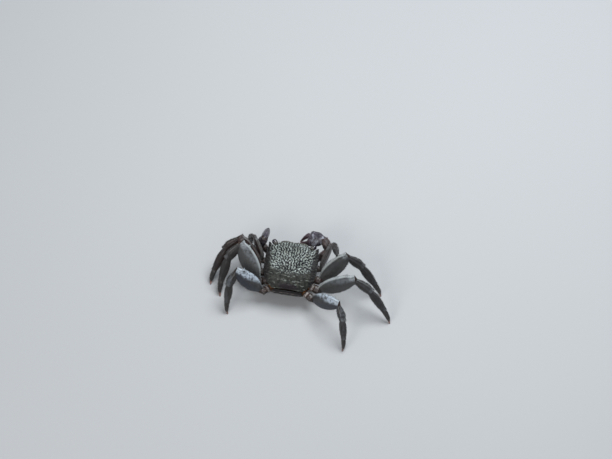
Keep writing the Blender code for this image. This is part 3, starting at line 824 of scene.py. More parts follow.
def shell_paint():
    """Back shell: black streaks on pale grey-green in front, olive-grey behind, dark brown flanks with
    painted shade.
    """
    paint = Paint("shell", Specular_IOR_Level=0.28, Coat_Weight=0.08, Coat_Roughness=0.25)
    across, up = paint.axis(0), paint.axis(2)
    forward = 0.0 - paint.axis(1)
    wide = across.size()
    cloud = paint.noise(0.16)
    front = (forward + 4.4 - (across * across) * 0.020 + (cloud - 0.5) * 5.0).step(-2.2, 1.8)
    level = maze(paint, across, forward - up * 0.9) + (paint.noise(2.2, 3.0, 0.65) - 0.5) * 5.2
    blot = paint.noise(0.42, 2.0, 0.5, 1.0)
    pale = (level + (blot - 0.5) * 3.6 + (front - 1.0) * 0.9).step(0.0, 0.75)
    patch = paint.noise(0.28, 2.0, 0.5).step(0.35, 0.7)
    beads = paint.cells(3.0).step(0.18, 0.55)
    paint.colour = paint.drift(cloud, (0.22, 0.25, 0.215), (0.56, 0.61, 0.575), 0.35, 0.65)
    paint.cover(patch * (1.0 - blot.step(0.4, 0.6)) * 0.7, (0.21, 0.20, 0.145))
    paint.cover(beads * 0.5, (0.12, 0.135, 0.115))
    # Painted highlight: pale colour on the tops of the grains.
    paint.cover(paint.mark("grain") * 0.55 * (1.0 - beads), (0.62, 0.66, 0.64))
    dark = paint.blend(patch, (0.004, 0.005, 0.006), (0.012, 0.013, 0.013))
    mottled = paint.blend(pale, dark, paint.colour)
    smooth = paint.noise(0.5, 4.0, 0.65)
    drift = paint.noise(0.22, 4.0, place=paint.stretched((0.8, 1.2, 1.0)))
    lines = ((forward - up * 0.5 - (across * across) * 0.014) * 2.7 + drift * 15.0).wave()
    broken = paint.noise(0.55, 2.0, place=paint.stretched((0.55, 1.6, 1.0))).step(0.47, 0.58)
    creases = lines.step(0.55, 0.97) * broken
    paint.colour = paint.drift(smooth, (0.007, 0.008, 0.006), (0.039, 0.040, 0.031), 0.35, 0.65)
    paint.cover(creases * 0.85, (0.20, 0.21, 0.185))
    paint.cover(front, mottled)
    # Painted shade along the U furrow.
    paint.cover(paint.mark("furrow"), (0.008, 0.009, 0.009))
    # Dark flanks: their own dark brown, deepened with painted shade where the sides turn down.
    flank = paint.drift(smooth, (0.004, 0.003, 0.0035), (0.016, 0.0135, 0.013), 0.35, 0.65)
    flank = paint.blend(creases * 0.4, flank, (0.12, 0.115, 0.10))
    side = (wide + (cloud - 0.5) * 2.5 - forward.step(4.0, 12.0) * 1.2).step(12.6, 15.2)
    paint.cover(side * 0.94, flank)
    rear_patch = 1.0 - ((across * 0.13) ** 2.0 + ((forward + 13.4) * 0.46) ** 2.0).step(0.3, 1.2)
    paint.cover(rear_patch * 0.85, (0.014, 0.007, 0.011))
    net = paint.cells(1.5, "DISTANCE_TO_EDGE")
    cheek = paint.drift(net, (0.030, 0.024, 0.019), (0.145, 0.130, 0.105), 0.02, 0.16)
    # Painted shade in the mouth frame, behind the mouth plates.
    mouth = (0.0 - up).step(8.4, 8.9) * (1.0 - wide.step(6.1, 6.7)) * forward.step(5.0, 6.0)
    cheek = paint.blend(mouth * 0.9, cheek, (0.010, 0.007, 0.006))
    paint.cover((0.0 - up).step(4.6, 7.4), cheek)
    fine = paint.noise(3.2)
    relief = fine * 0.6 + pale * front * 0.9 + creases * 0.4
    return paint.finish(relief, 0.8, 0.00025, 0.34 + fine * 0.2 + (1.0 - pale) * 0.05)


def belly_paint():
    """Underside: buff and grey with darker stains."""
    paint = Paint("belly", Coat_Weight=0.15, Coat_Roughness=0.3)
    paint.colour = paint.drift(paint.noise(0.35, 4.0), (0.15, 0.115, 0.085), (0.30, 0.255, 0.19))
    paint.cover(paint.noise(0.9).step(0.52, 0.72) * 0.7, (0.060, 0.046, 0.038))
    # Painted shade in the seams between the plates.
    paint.cover(paint.mark("groove"), (0.040, 0.026, 0.020))
    return paint.fine_finish(0.36, 0.18, 0.5, 0.00018)


def tail_paint():
    """Tail flap: painted shade under the shell's rear edge, a pale rim on its first plate, buff below.
    """
    paint = Paint("tail_flap", Specular_IOR_Level=0.3, Coat_Weight=0.05, Coat_Roughness=0.3)
    share = paint.mark("share")
    cloud = paint.noise(0.4, 4.0)
    under = paint.drift(cloud, (0.115, 0.090, 0.068), (0.24, 0.205, 0.155))
    # Painted shade over the upper part of the flap, under the shell's rear edge, with paler blotches in
    # it.
    rear = paint.drift(cloud, (0.004, 0.0035, 0.003), (0.015, 0.012, 0.011), 0.35, 0.65)
    rear = paint.blend(paint.noise(1.6).step(0.54, 0.70) * 0.7, rear, (0.050, 0.041, 0.036))
    paint.colour = paint.drift(paint.axis(2) + 13.2 + (cloud - 0.5) * 7.0, under, rear, -1.6, 2.2)
    # Painted shade at the root of the flap, under the shell's rear edge.
    paint.cover(1.0 - share.step(0.055, 0.080), (0.010, 0.006, 0.006))
    rim = share.step(0.030, 0.042) * (1.0 - share.step(0.054, 0.066)) * cloud.step(0.38, 0.56)
    paint.cover(rim * 0.8, (0.20, 0.155, 0.135))
    # Painted shade in the seams between the plates.
    paint.cover(paint.mark("groove"), (0.030, 0.020, 0.017))
    return paint.fine_finish(0.34, 0.2, 0.5, 0.00018)


def root_paint():
    """First leg pieces: dark brown with pale pearls, orange and white where the mark warm is high."""
    paint = Paint("leg_roots", Specular_IOR_Level=0.35, Coat_Weight=0.12, Coat_Roughness=0.25)
    share, warm = paint.mark("share"), paint.mark("warm")
    paint.colour = paint.drift(paint.noise(0.7, 4.0), (0.021, 0.014, 0.013), (0.068, 0.049, 0.041))
    pearls = (1.0 - paint.cells(0.9).step(0.16, 0.34)) * share.step(0.25, 0.40)
    paint.cover(pearls * 0.55, (0.30, 0.24, 0.22))
    spots = paint.noise(0.8)
    belt = share.step(0.40, 0.52) * (1.0 - share.step(0.62, 0.76)) * spots.step(0.44, 0.56)
    paint.cover(belt * warm, (0.46, 0.40, 0.37))
    near = (1.0 - share.step(0.26, 0.48)) * spots.step(0.38, 0.54)
    paint.cover(near * (0.1 + warm * 0.8), (0.36, 0.135, 0.028))
    # Painted shade in the groove round the piece.
    paint.cover(paint.mark("groove"), (0.050, 0.022, 0.012))
    return paint.fine_finish(0.32, 0.18, 0.5, 0.00015)


def leg_paint():
    """Walking legs: dark grey to red-brown, a pale dried coat, and painted highlights, reflection and
    shade.
    """
    paint = Paint("legs", Coat_Weight=0.3, Coat_Roughness=0.18)
    names = ("share", "upper", "brown", "film", "sheen", "broad")
    share, upper, brown, film, sheen, broad = (paint.mark(name) for name in names)
    cloud = paint.noise(0.3, 4.0)
    fine = paint.noise(1.6, 4.0, 0.65, place=paint.stretched((1.0, 1.4, 0.5)))
    grey = paint.drift(cloud, (0.011, 0.011, 0.012), (0.040, 0.039, 0.037))
    red = paint.drift(cloud, (0.014, 0.006, 0.005), (0.048, 0.023, 0.018))
    paint.colour = paint.blend(brown, grey, red)
    dusk = paint.blend(paint.mark("olive"), (0.035, 0.030, 0.036), (0.038, 0.031, 0.021))
    paint.cover((1.0 - broad) * (1.0 - brown) * (0.3 + cloud * 0.7), dusk)
    dull = (film * broad) * (0.45 + fine * 0.55)
    paint.cover(dull.step(0.0, 1.0) * 0.8, (0.078, 0.077, 0.071))
    # Painted highlight along the upper edge, stronger where the leg has film.
    edge = upper.step(0.74, 0.95) * (0.12 + film * 0.88) * broad
    paint.cover(edge * fine.step(0.25, 0.5), (0.40, 0.42, 0.40))
    # Painted reflection of the sky: blue-white on the upper face, stronger towards the far end.
    lit = (upper + (share - 0.55) * 1.9).step(0.0, 0.7) * upper.step(-0.3, 0.2)
    sky_reflection = sheen * lit * paint.noise(0.45, 4.0, 0.7).step(0.36, 0.54)
    paint.cover(sky_reflection * 0.95 * broad, (0.46, 0.52, 0.58))
    # Painted shade: dark navy on the lower face, under the painted reflection.
    navy_shade = sheen * (1.0 - upper.step(-0.5, 0.25)) * broad
    paint.cover(navy_shade * 0.8, (0.010, 0.014, 0.026))
    paint.cover((1.0 - broad) * 0.7, (0.008, 0.005, 0.0045))
    flecks = (1.0 - paint.cells(1.1).step(0.04, 0.20)) * cloud.step(0.4, 0.6)
    paint.cover(flecks * 0.35, (0.15, 0.14, 0.12))
    # Painted highlight on the upper side of the knee.
    knee_glint = share.step(0.86, 0.97) * fine.step(0.35, 0.55) * broad * (0.1 + sheen * 0.45 + film * 0.45)
    paint.cover(knee_glint * upper.step(-0.2, 0.5), (0.46, 0.49, 0.50))
    paint.cover((1.0 - share.step(0.02, 0.07)) * 0.5, (0.11, 0.055, 0.028))
    # Painted shade inside the sockets.
    paint.cover(paint.mark("inside"), (0.045, 0.022, 0.014))
    grit = paint.noise(3.4, 3.0, 0.65)
    return paint.finish(grit * 0.7 + fine * 0.5, 0.6, 0.00022, 0.32 + grit * 0.22 + film * 0.12)


def tip_paint():
    """Last leg pieces: dark at the root, then a smooth horn-coloured claw."""
    paint = Paint("leg_tips", Coat_Weight=0.4, Coat_Roughness=0.15)
    share = paint.mark("share")
    cloud = paint.noise(0.5, 4.0)
    dark = paint.drift(cloud, (0.014, 0.011, 0.010), (0.042, 0.033, 0.028))
    horn = paint.drift(cloud, (0.17, 0.075, 0.060), (0.34, 0.20, 0.165))
    paint.colour = paint.drift(share + (cloud - 0.5) * 0.16, dark, horn, 0.70, 0.90)
    paint.cover(share.step(0.95, 1.0), (0.07, 0.028, 0.018))
    grit = paint.noise(3.4, 3.0, 0.65)
    return paint.finish(grit, 0.4, 0.00012, 0.42 - share * 0.2 + grit * 0.1)


def claw_paint():
    """Claws: violet-grey palm with pale grains and a painted highlight, going to dark purple-brown
    fingers.
    """
    paint = Paint("claws", Coat_Weight=0.4, Coat_Roughness=0.16)
    along = paint.axis(0)
    cloud = paint.noise(0.3, 4.0)
    palm = paint.drift(cloud, (0.013, 0.009, 0.013), (0.062, 0.052, 0.068))
    finger = paint.drift(cloud, (0.018, 0.006, 0.011), (0.050, 0.017, 0.022))
    paint.colour = paint.drift(along + (cloud - 0.5) * 3.0, palm, finger, 9.0, 13.6)
    paint.cover(paint.mark("grain") * 0.42, (0.24, 0.215, 0.25))
    # Painted highlight: pale patches on the right palm, where the light is reflected.
    film = paint.noise(0.42).step(0.48, 0.62) * (1.0 - along.step(9.0, 12.0))
    right = 1.0 - paint.axis(0, paint.object_place()).step(0.0, 0.015)
    paint.cover(film * right * 0.75, (0.33, 0.34, 0.375))
    paint.cover((along + (cloud - 0.5)).step(18.0, 19.3), (0.20, 0.11, 0.085))
    paint.cover(paint.mark("tooth") * 0.7, (0.22, 0.18, 0.165))
    return paint.fine_finish(0.26, 0.2, 0.4, 0.00018, 2.8)


def arm_paint():
    """Arms: dark brown with dull pink and pale grains, violet where the mark violet is high."""
    paint = Paint("arms", Coat_Weight=0.35, Coat_Roughness=0.2)
    cloud = paint.noise(0.35, 4.0)
    paint.colour = paint.drift(cloud, (0.016, 0.009, 0.009), (0.072, 0.046, 0.042), 0.32, 0.68)
    violet = paint.drift(cloud, (0.010, 0.007, 0.010), (0.040, 0.034, 0.045))
    paint.cover(paint.mark("violet"), violet)
    paint.cover(paint.mark("grain") * 0.4, (0.22, 0.165, 0.155))
    # Painted shade inside the sockets.
    paint.cover(paint.mark("inside"), (0.022, 0.012, 0.012))
    return paint.fine_finish(0.30, 0.2, 0.5, 0.0002, 2.8)


def joint_paint():
    """Soft skin of the joints: faintly folded, dark brown with a little orange."""
    paint = Paint("joint_skin", on_mesh=False, Specular_IOR_Level=0.3, Coat_Weight=0.08,
                  Coat_Roughness=0.3)
    cloud = paint.noise(700.0, 4.0, 0.65)
    folds = (paint.mark("share") * 55.0 + cloud * 14.0).wave() * 0.5 + 0.5
    paint.colour = paint.drift(cloud, (0.016, 0.010, 0.009), (0.050, 0.029, 0.023), 0.40, 0.66)
    paint.cover(folds * 0.35, (0.026, 0.014, 0.011))
    return paint.finish(folds * 0.5 + cloud, 0.5, 0.00012)


def root_skin_paint():
    """Soft skin where the rear legs meet the body: white and orange behind, dark in front."""
    paint = Paint("root_skin", Coat_Weight=0.4, Coat_Roughness=0.2)
    fine = paint.noise(1.3)
    warm = paint.drift(paint.noise(0.45), (0.42, 0.16, 0.030), (0.50, 0.45, 0.40), 0.42, 0.56)
    paint.colour = paint.drift(paint.axis(1), (0.075, 0.050, 0.036), warm, 5.0, 9.0)
    paint.cover(fine.step(0.58, 0.72) * 0.6, (0.045, 0.022, 0.014))
    return paint.finish(fine, 0.4, 0.00015)


def eye_paint():
    """Eyes: a speckled grey stalk and a dark cornea with a purple gleam and fine facets."""
    paint = Paint("eyes", Coat_Weight=0.8, Coat_Roughness=0.12)
    cornea = paint.mark("cornea").step(0.35, 0.6)
    cloud = paint.noise(1.1)
    glass = paint.drift(cloud, (0.006, 0.004, 0.007), (0.020, 0.012, 0.022))
    paint.colour = paint.drift(cloud, (0.026, 0.022, 0.020), (0.19, 0.185, 0.165), 0.38, 0.62)
    paint.cover(cornea, glass)
    return paint.finish(paint.cells(11.0), 0.16, 0.00002, 0.42 - cornea * 0.24)


def feeler_paint():
    """Feelers: dark, ringed and paler towards the tip."""
    paint = Paint("feelers", 0.45)
    share = paint.mark("share")
    rings = ((share * 160.0).wave() * 0.5 + 0.5) * share.step(0.35, 0.45)
    paint.colour = paint.blend(share, (0.032, 0.020, 0.017), (0.12, 0.08, 0.06))
    paint.cover(rings * 0.5, (0.016, 0.010, 0.009))
    return paint.finish(rings, 0.4, 0.00005)


def mouth_paint():
    """Mouth plates: grey-brown and pitted, with painted shade in the pits and grooves."""
    paint = Paint("mouth_plates", Coat_Weight=0.2, Coat_Roughness=0.3)
    cloud = paint.noise(0.6, 4.0, 0.65)
    paint.colour = paint.drift(cloud, (0.042, 0.034, 0.028), (0.135, 0.118, 0.094))
    # Painted shade in the pits and, below, in the grooves.
    pits = 1.0 - paint.cells(1.8).step(0.10, 0.32)
    paint.cover(pits * 0.5, (0.022, 0.017, 0.014))
    paint.cover(paint.mark("groove"), (0.018, 0.013, 0.011))
    fine = paint.noise(3.0)
    return paint.finish(fine - pits * 0.6, 0.6, 0.0002, 0.38 + fine * 0.2)


def bristle_paint():
    """Bristles: near black at the root and brown at the tip."""
    paint = Paint("bristles", 0.5, on_mesh=False)
    paint.colour = paint.blend(paint.mark("tip"), (0.008, 0.006, 0.005), (0.052, 0.038, 0.027))
    return paint.finish()


def soft_floor_paint():
    """The pale floor."""
    paint = Paint("pale_floor", 0.85, on_mesh=False)
    paint.colour = paint.blend(paint.noise(3.0, 2.0, 0.55), (0.46, 0.46, 0.455), (0.49, 0.49, 0.485))
    return paint.finish()


# Back shell

def shell_margin():
    """Half of the shell's outline from above, from the middle of the front to the middle rear."""
    width = SHELL_HALF_WIDTH
    front = SHELL_FRONT
    rear = -SHELL_REAR
    return (
        (0.0, LOBE_FRONT - 0.5), (3.2, LOBE_FRONT - 0.1), (6.4, LOBE_FRONT),
        (FRONT_HALF_WIDTH - 0.4, LOBE_FRONT - 0.4), (FRONT_HALF_WIDTH + 0.7, front - 0.8),
        (FRONT_HALF_WIDTH + 1.7, front - 2.7),
        (13.0, front - 2.9), (14.9, front - 2.6), (width - 1.3, front - 0.9),
        (width - 0.9, front - 3.4), (width - 1.2, front - 4.9), (width - 0.1, front - 4.6),
        (width - 0.2, front - 7.4), (width, 3.6), (width, -0.6), (width - 0.5, -5.0),
        (width - 1.9, -9.2), (width - 4.1, -12.2), (width - 6.4, -14.3), (10.4, rear),
        (6.4, rear + 0.1), (3.0, rear + 0.3), (0.0, rear + 0.4),
    )


def shell_outline(count):
    """The whole outline of the shell as evenly spaced points."""
    half = shell_margin()
    whole = list(half) + [(-across, forward) for across, forward in reversed(half[1:-1])]
    around = np.array(whole + whole[:1])
    knots = run_of(np.sqrt(np.linalg.norm(np.diff(around, axis=0), axis=1)))
    padded_knots = np.concatenate((knots[-3:-1] - knots[-1], knots, knots[1:3] + knots[-1]))
    padded = np.concatenate((around[-3:-1], around, around[1:3]))
    dense = through(padded_knots, padded, np.linspace(0.0, knots[-1], 4001))
    way = run_of(np.linalg.norm(np.diff(dense, axis=0), axis=1))
    even = np.linspace(0.0, way[-1], count + 1)[:-1]
    return np.stack([np.interp(even, way, dense[:, axis]) for axis in range(2)], axis=1)


def back_height(across, forward):
    """Height of the back over a place, from the middle of the back."""
    side = 2.5 * (np.abs(across) / SHELL_HALF_WIDTH) ** 2.6
    rear = 3.1 * (np.maximum(0.0, -forward - 2.0) / (SHELL_REAR - 2.0)) ** 2
    fore = 0.6 * (np.maximum(0.0, forward) / 12.0) ** 2
    in_front = 1.0 - smooth_step(FRONT_HALF_WIDTH, FRONT_HALF_WIDTH + 1.4, np.abs(across))
    brow = 4.2 * smooth_step(12.0, LOBE_FRONT, forward) * in_front
    return -(side + rear + fore + brow)


# Swellings of the back: middle, width each way and height
SWELLINGS = (
    ((2.7, 13.0), (2.1, 1.7), 0.75), ((6.9, 12.6), (1.6, 1.6), 0.60),
    ((0.0, 3.2), (5.0, 4.6), 0.45), ((6.4, 6.4), (2.6, 3.2), 0.35),
    ((12.2, 1.0), (3.2, 4.0), 0.40), ((11.0, -6.5), (3.6, 4.6), 0.45),
    ((0.0, -6.6), (3.2, 2.6), 0.45), ((0.0, -12.0), (4.2, 1.8), 0.25),
)

# Furrows of the back: depth, line and width. The first rounds the middle of the back
U_FURROW = ((0.0, -2.9), (2.0, -2.6), (3.9, -1.0), (6.3, 1.6), (8.2, 3.0), (9.6, 5.6))
FURROWS = (
    (0.50, U_FURROW, 0.62), (0.60, ((0.0, 16.2), (0.0, 9.0)), 0.55),
    (0.22, ((0.0, 9.0), (0.0, 5.0)), 0.6), (0.32, ((4.9, 15.6), (4.8, 10.6)), 0.5),
    (0.32, ((4.0, -2.4), (4.3, -5.6), (5.0, -9.6), (6.2, -12.4)), 0.7),
    (0.25, ((0.0, -9.6), (4.6, -9.8)), 0.6), (0.30, ((9.6, 5.6), (13.4, 6.8), (16.6, 8.8)), 0.6),
    (0.22, ((9.2, -0.6), (13.4, -1.6), (16.8, -1.2)), 0.6),
)


def back_regions(across, forward):
    """Swellings and furrows of the back: lobes behind the front, stomach, heart and gill regions."""
    x = np.abs(across)
    rise = np.zeros_like(x)
    for centre, width, height in SWELLINGS:
        rise += bump_at(x, forward, centre, width, height)
    for depth, line, width in FURROWS:
        rise -= depth * channel(x, forward, line, width)
    return rise


def back_texture(across, forward):
    """Grains and short raised folds of the back, and how grainy each place is."""
    flat = np.stack((across, forward), axis=-1)
    x = np.abs(across)
    border = -4.6 + 0.016 * x * x + 2.2 * soft_noise(flat, 4.0, 3.0)
    front = smooth_step(-1.4, 1.6, forward - border)
    coarse = grains(flat, 0.95, 1.0, 0.55)
    fine = grains(flat, 0.55, 5.0, 0.5)
    worms = 1.0 - np.clip(np.abs(soft_noise(flat, 0.85, 9.0)) / 0.35, 0.0, 1.0)
    front_relief = 0.17 * coarse + 0.08 * fine + 0.12 * worms
    rear_relief = 0.05 * fine + 0.10 * soft_noise(flat * (0.55, 1.5), 1.3, 12.0)
    height = front * front_relief + (1.0 - front) * rear_relief
    striped = smooth_step(9.5, 12.5, x) * (1.0 - smooth_step(7.0, 10.0, forward))
    wobble = 0.9 * soft_noise(flat, 3.0, 15.0)
    stripe = waves(0.80 * forward + 0.55 * x + wobble, 1.7)
    height += striped * 0.13 * np.maximum(stripe, -0.4)
    grain = front * np.clip(0.75 * coarse + 0.5 * worms, 0.0, 1.0)
    return height, grain


# Rings just under the shell's edge: shares of the outline across and forward, and drop
EDGE_RINGS = ((1.0, 1.0, 1.0), (0.995, 0.992, 1.45), (0.99, 0.985, 1.9))

# Rings of the shell's wall: for the face (back from the face line, height, share of the width)
# and for the sides (share of the outline, height)
WALL_RINGS = (
    ((0.7, -6.2, 0.98), (0.985, -5.2)),
    ((0.1, -8.0, 0.95), (0.960, -6.6)),
    ((1.9, -11.0, 0.77), (0.915, -7.7)),
    ((4.2, LIP_HEIGHT, 0.50), (0.850, SHELL_UNDERSIDE)),
)
UNDERSIDE_SHARES = (0.93, 0.80, 0.55, 0.25)


def wall_controls(outline):
    """Rings that the wall of the shell passes through, from its edge to its lower rim."""
    x, f = outline.T
    edge = back_height(x, f)
    rings = [np.stack((wide * x, -long * f, edge - drop), axis=1) for wide, long, drop in EDGE_RINGS]
    face = smooth_step(6.0, 11.0, f)
    for (back, face_up, face_width), (share, side_up) in WALL_RINGS:
        face_x = x * face_width
        face_f = FACE_FORWARD - FACE_CURVE * face_x * face_x - back
        across = face * face_x + (1.0 - face) * x * share
        forward = face * face_f + (1.0 - face) * f * share
        rings.append(np.stack((across, -forward, face * face_up + (1.0 - face) * side_up), axis=1))
    low = rings[-1]
    for share in UNDERSIDE_SHARES:
        drop = smooth_step(5.8, 8.0, -low[:, 1] * share)
        up = SHELL_UNDERSIDE + drop * (LIP_HEIGHT - SHELL_UNDERSIDE) + 0.35 * (1.0 - share)
        rings.append(np.stack((low[:, 0] * share, low[:, 1] * share, up), axis=1))
    return np.array(rings)


DEEPEST_HOLLOW = 3.2


def hollowed(grid, rows, balls, way):
    """Rings with the points over some balls pushed back behind them, to make a hollow."""
    way = np.asarray(way, float)
    part = grid[rows].copy()
    for centre, radius in balls:
        offset = part - np.asarray(centre, float)
        ahead = offset @ way
        aside = (offset ** 2).sum(-1) - ahead ** 2
        behind = np.sqrt(np.clip(radius ** 2 - aside, 0.0, None))
        move = np.where(aside < radius ** 2, behind - ahead, 0.0)
        move = np.where((move > 0.0) & (ahead < behind), move, 0.0)
        part += np.clip(move, 0.0, DEEPEST_HOLLOW)[..., None] * way
    grid[rows] = part
    return grid


# Hollows of the shell for the eyes, feelers and mouth plates: room, and the ways they go in
EYE_ROOM = 0.34
FEELER_ROOM = 1.0
MOUTH_ROOM = 1.75
STRAIGHT_BACK = (0.0, 1.0, 0.0)
BACK_AND_UP = (0.0, 0.96, 0.28)


def eye_balls(side):
    """Balls along an eye and its stalk, in the body's own axes."""
    root, top = np.array(EYE_ROOT), np.array(EYE_PLACE)
    balls = []
    for share in np.linspace(0.0, 1.0, 9):
        radius = STALK_RADIUS + (EYE_RADIUS - STALK_RADIUS) * smooth_step(0.45, 1.0, share)
        balls.append((mirrored(root + (top - root) * share, side), radius + EYE_ROOM))
    return balls


def mouth_balls(side):
    """Balls over a mouth plate, in the body's own axes."""
    balls = []
    for up, half, forward in MOUTH_PLATE_STATIONS:
        for across in (-0.62, 0.0, 0.62):
            place = mirrored((MOUTH_PLATE_MIDDLE + across * half, forward - 0.5, up), side)
            balls.append((place, MOUTH_ROOM))
    return balls


def shell_skin(body):
    """The back shell with its regions, grains, orbits and mouth frame."""
    outline = shell_outline(SHELL_ROUND)
    share = np.linspace(0.0, 1.0, BACK_ROWS + 1)[1:] ** 0.9
    x, f = share[:, None] * outline.T[:, None]
    shares = each_ring(share, SHELL_ROUND)
    regions = back_regions(x, f)
    texture, grain = back_texture(x, f)
    fade = 1.0 - 0.75 * smooth_step(0.965, 1.0, shares)
    bead = 0.22 * peak(shares - 0.985, 0.012) * (1.0 - smooth_step(11.5, 13.0, f))
    up = back_height(x, f) - shares ** 8 + (regions + texture) * fade + bead
    back = np.stack((x, -f, up), axis=-1)
    controls = wall_controls(outline)
    gaps = np.linalg.norm(np.diff(controls, axis=0), axis=-1).mean(1)
    knots = run_of(np.maximum(gaps, 0.2))
    wall = through(knots, controls, np.linspace(0.0, knots[-2], WALL_ROWS)[1:])
    depth = np.linspace(0.0, 1.0, WALL_ROWS)[1:, None]
    net = grains(wall, 0.62, 21.0, 0.6)
    texture_wall = 0.13 * net * smooth_step(0.02, 0.12, depth) * (1.0 - smooth_step(0.62, 0.8, depth))
    wall = raised(wall, texture_wall)
    grid = np.concatenate((back, wall))
    below = slice(BACK_ROWS - 3, len(grid))
    for side in SIDES.values():
        grid = hollowed(grid, below, eye_balls(side), BACK_AND_UP)
        feeler = (FEELER_ROOT[0], FEELER_ROOT[1] + 0.4, FEELER_ROOT[2])
        grid = hollowed(grid, below, [(mirrored(feeler, side), FEELER_ROOM)], STRAIGHT_BACK)
        grid = hollowed(grid, slice(BACK_ROWS + 4, len(grid)), mouth_balls(side), STRAIGHT_BACK)
    grain = np.concatenate((grain * fade, np.zeros((len(wall), SHELL_ROUND))))
    x, f = grid[..., 0], -grid[..., 1]
    flat = np.stack((x, f), axis=-1)
    furrow = channel(np.abs(x), f, U_FURROW[:4], 0.34) * (0.55 + 0.45 * soft_noise(flat, 1.6, 33.0))
    clumps = smooth_step(0.15, 0.5, soft_noise(flat, 1.3, 31.0))
    on_back = np.concatenate((np.ones(BACK_ROWS), np.zeros(len(wall))))[:, None]
    flanks = smooth_step(9.0, 13.0, np.abs(x)) + smooth_step(9.5, 11.5, f)
    on_wall = (1.0 - on_back) * smooth_step(4.0, 9.0, f) * 0.5
    bristle = on_back * clumps * (0.20 + 0.5 * np.clip(flanks, 0.0, 1.0)) + on_wall
    bristle[-BARE_ROWS:] = 0.0
    lie = np.broadcast_to(body_way(body, (0.0, -1.0, 0.0)), grid.shape)
    return Skin(grid, (0.0, 0.0, 0.25), grid[-1].mean(0), body, grain=grain, bristle=bristle,
                furrow=np.clip(furrow, 0.0, 1.0), lie=lie)


# Underside and face

def breastplate_skin(body):
    """The breastplate with the seams between its plates."""
    table = np.array(BREASTPLATE_STATIONS)
    forward = np.linspace(table[0, 0], table[-1, 0], 70)
    half, top, bottom = through(table[:, 0], table[:, 1:], forward).T
    turns = ring(BREASTPLATE_SIDES)
    across = boxed(np.cos(turns), BREASTPLATE_SQUARENESS)
    upward = boxed(np.sin(turns), BREASTPLATE_SQUARENESS)
    middle, tall = 0.5 * (top + bottom), 0.5 * (top - bottom)
    grid = np.stack((
        half[:, None] * across, each_ring(-forward, BREASTPLATE_SIDES),
        middle[:, None] + tall[:, None] * upward,
    ), axis=-1)
    x, f = np.abs(grid[..., 0]), -grid[..., 1]
    groove = np.zeros_like(x)
    for place in BREASTPLATE_SEAMS:
        groove = np.maximum(groove, peak(f - place - 0.10 * x, 0.28))
    groove *= upward[None] < 0.3
    fine = grains(grid, 0.7, 41.0)
    grid = raised(grid, 0.06 * fine - 0.35 * groove)
    bristle = 0.15 * smooth_step(0.5, 3.0, f)
    return Skin(grid, BREASTPLATE_REAR, BREASTPLATE_FRONT, body, groove=groove, bristle=bristle)


def tail_flap_skin(body):
    """The broad tail flap with its six plates and end piece."""
    table = np.array(TAIL_FLAP_STATIONS)
    knots = run_of(np.linalg.norm(np.diff(table[:, :2], axis=0), axis=1))
    way = np.linspace(0.0, knots[-1], 170)
    forward, up, half, slope = through(knots, table, way).T
    outward = np.stack((-np.sin(np.radians(slope)), np.cos(np.radians(slope))), axis=1)
    turns = ring(TAIL_FLAP_SIDES)
    across = boxed(np.cos(turns), 0.72)
    lift = boxed(np.sin(turns), 0.8)
    lift = np.where(lift > 0.0, 1.3 * lift, lift)
    thick = TAIL_FLAP_HALF_THICK * lift
    share = each_ring(way / knots[-1], TAIL_FLAP_SIDES)
    groove = np.zeros_like(share)
    swell = np.zeros_like(share)
    bowed = share - 0.028 * (across[None] ** 2)
    for low, high in zip((0.0,) + TAIL_FLAP_SEAMS, TAIL_FLAP_SEAMS + (1.0,)):
        groove = np.maximum(groove, peak(bowed - high, 0.0065) * (high < 1.0))
        inside = np.clip((bowed - low) / (high - low), 0.0, 1.0)
        swell = np.where((bowed > low) & (bowed <= high), np.sin(pi * inside) ** 0.5, swell)
    outer = smooth_step(0.1, 0.6, lift)[None]
    grid = np.stack((
        half[:, None] * across,
        -(forward[:, None] + outward[:, :1] * thick),
        up[:, None] + outward[:, 1:] * thick,
    ), axis=-1)
    fine = grains(grid, 0.6, 45.0)
    uneven = 0.10 * soft_noise(grid, 1.7, 46.0) + 0.05 * soft_noise(grid, 0.8, 47.0)
    height = outer * (0.16 * swell + 0.04 * fine + uneven - 0.30 * groove)
    grid = raised(grid, height)
    rim = smooth_step(0.93, 0.99, np.abs(across))[None] * np.ones_like(share)
    bristle = rim + outer * 0.05
    skin = Skin(grid, TAIL_FLAP_START, TAIL_FLAP_END, body, share=bowed, groove=groove * outer,
                bristle=bristle)
    sideways = np.sign(across)[None, :, None] * body_way(body, (1.0, 0.0, 0.0))
    skin.marks["lie"] = 0.5 * skin.marks["lie"] + sideways
    return skin


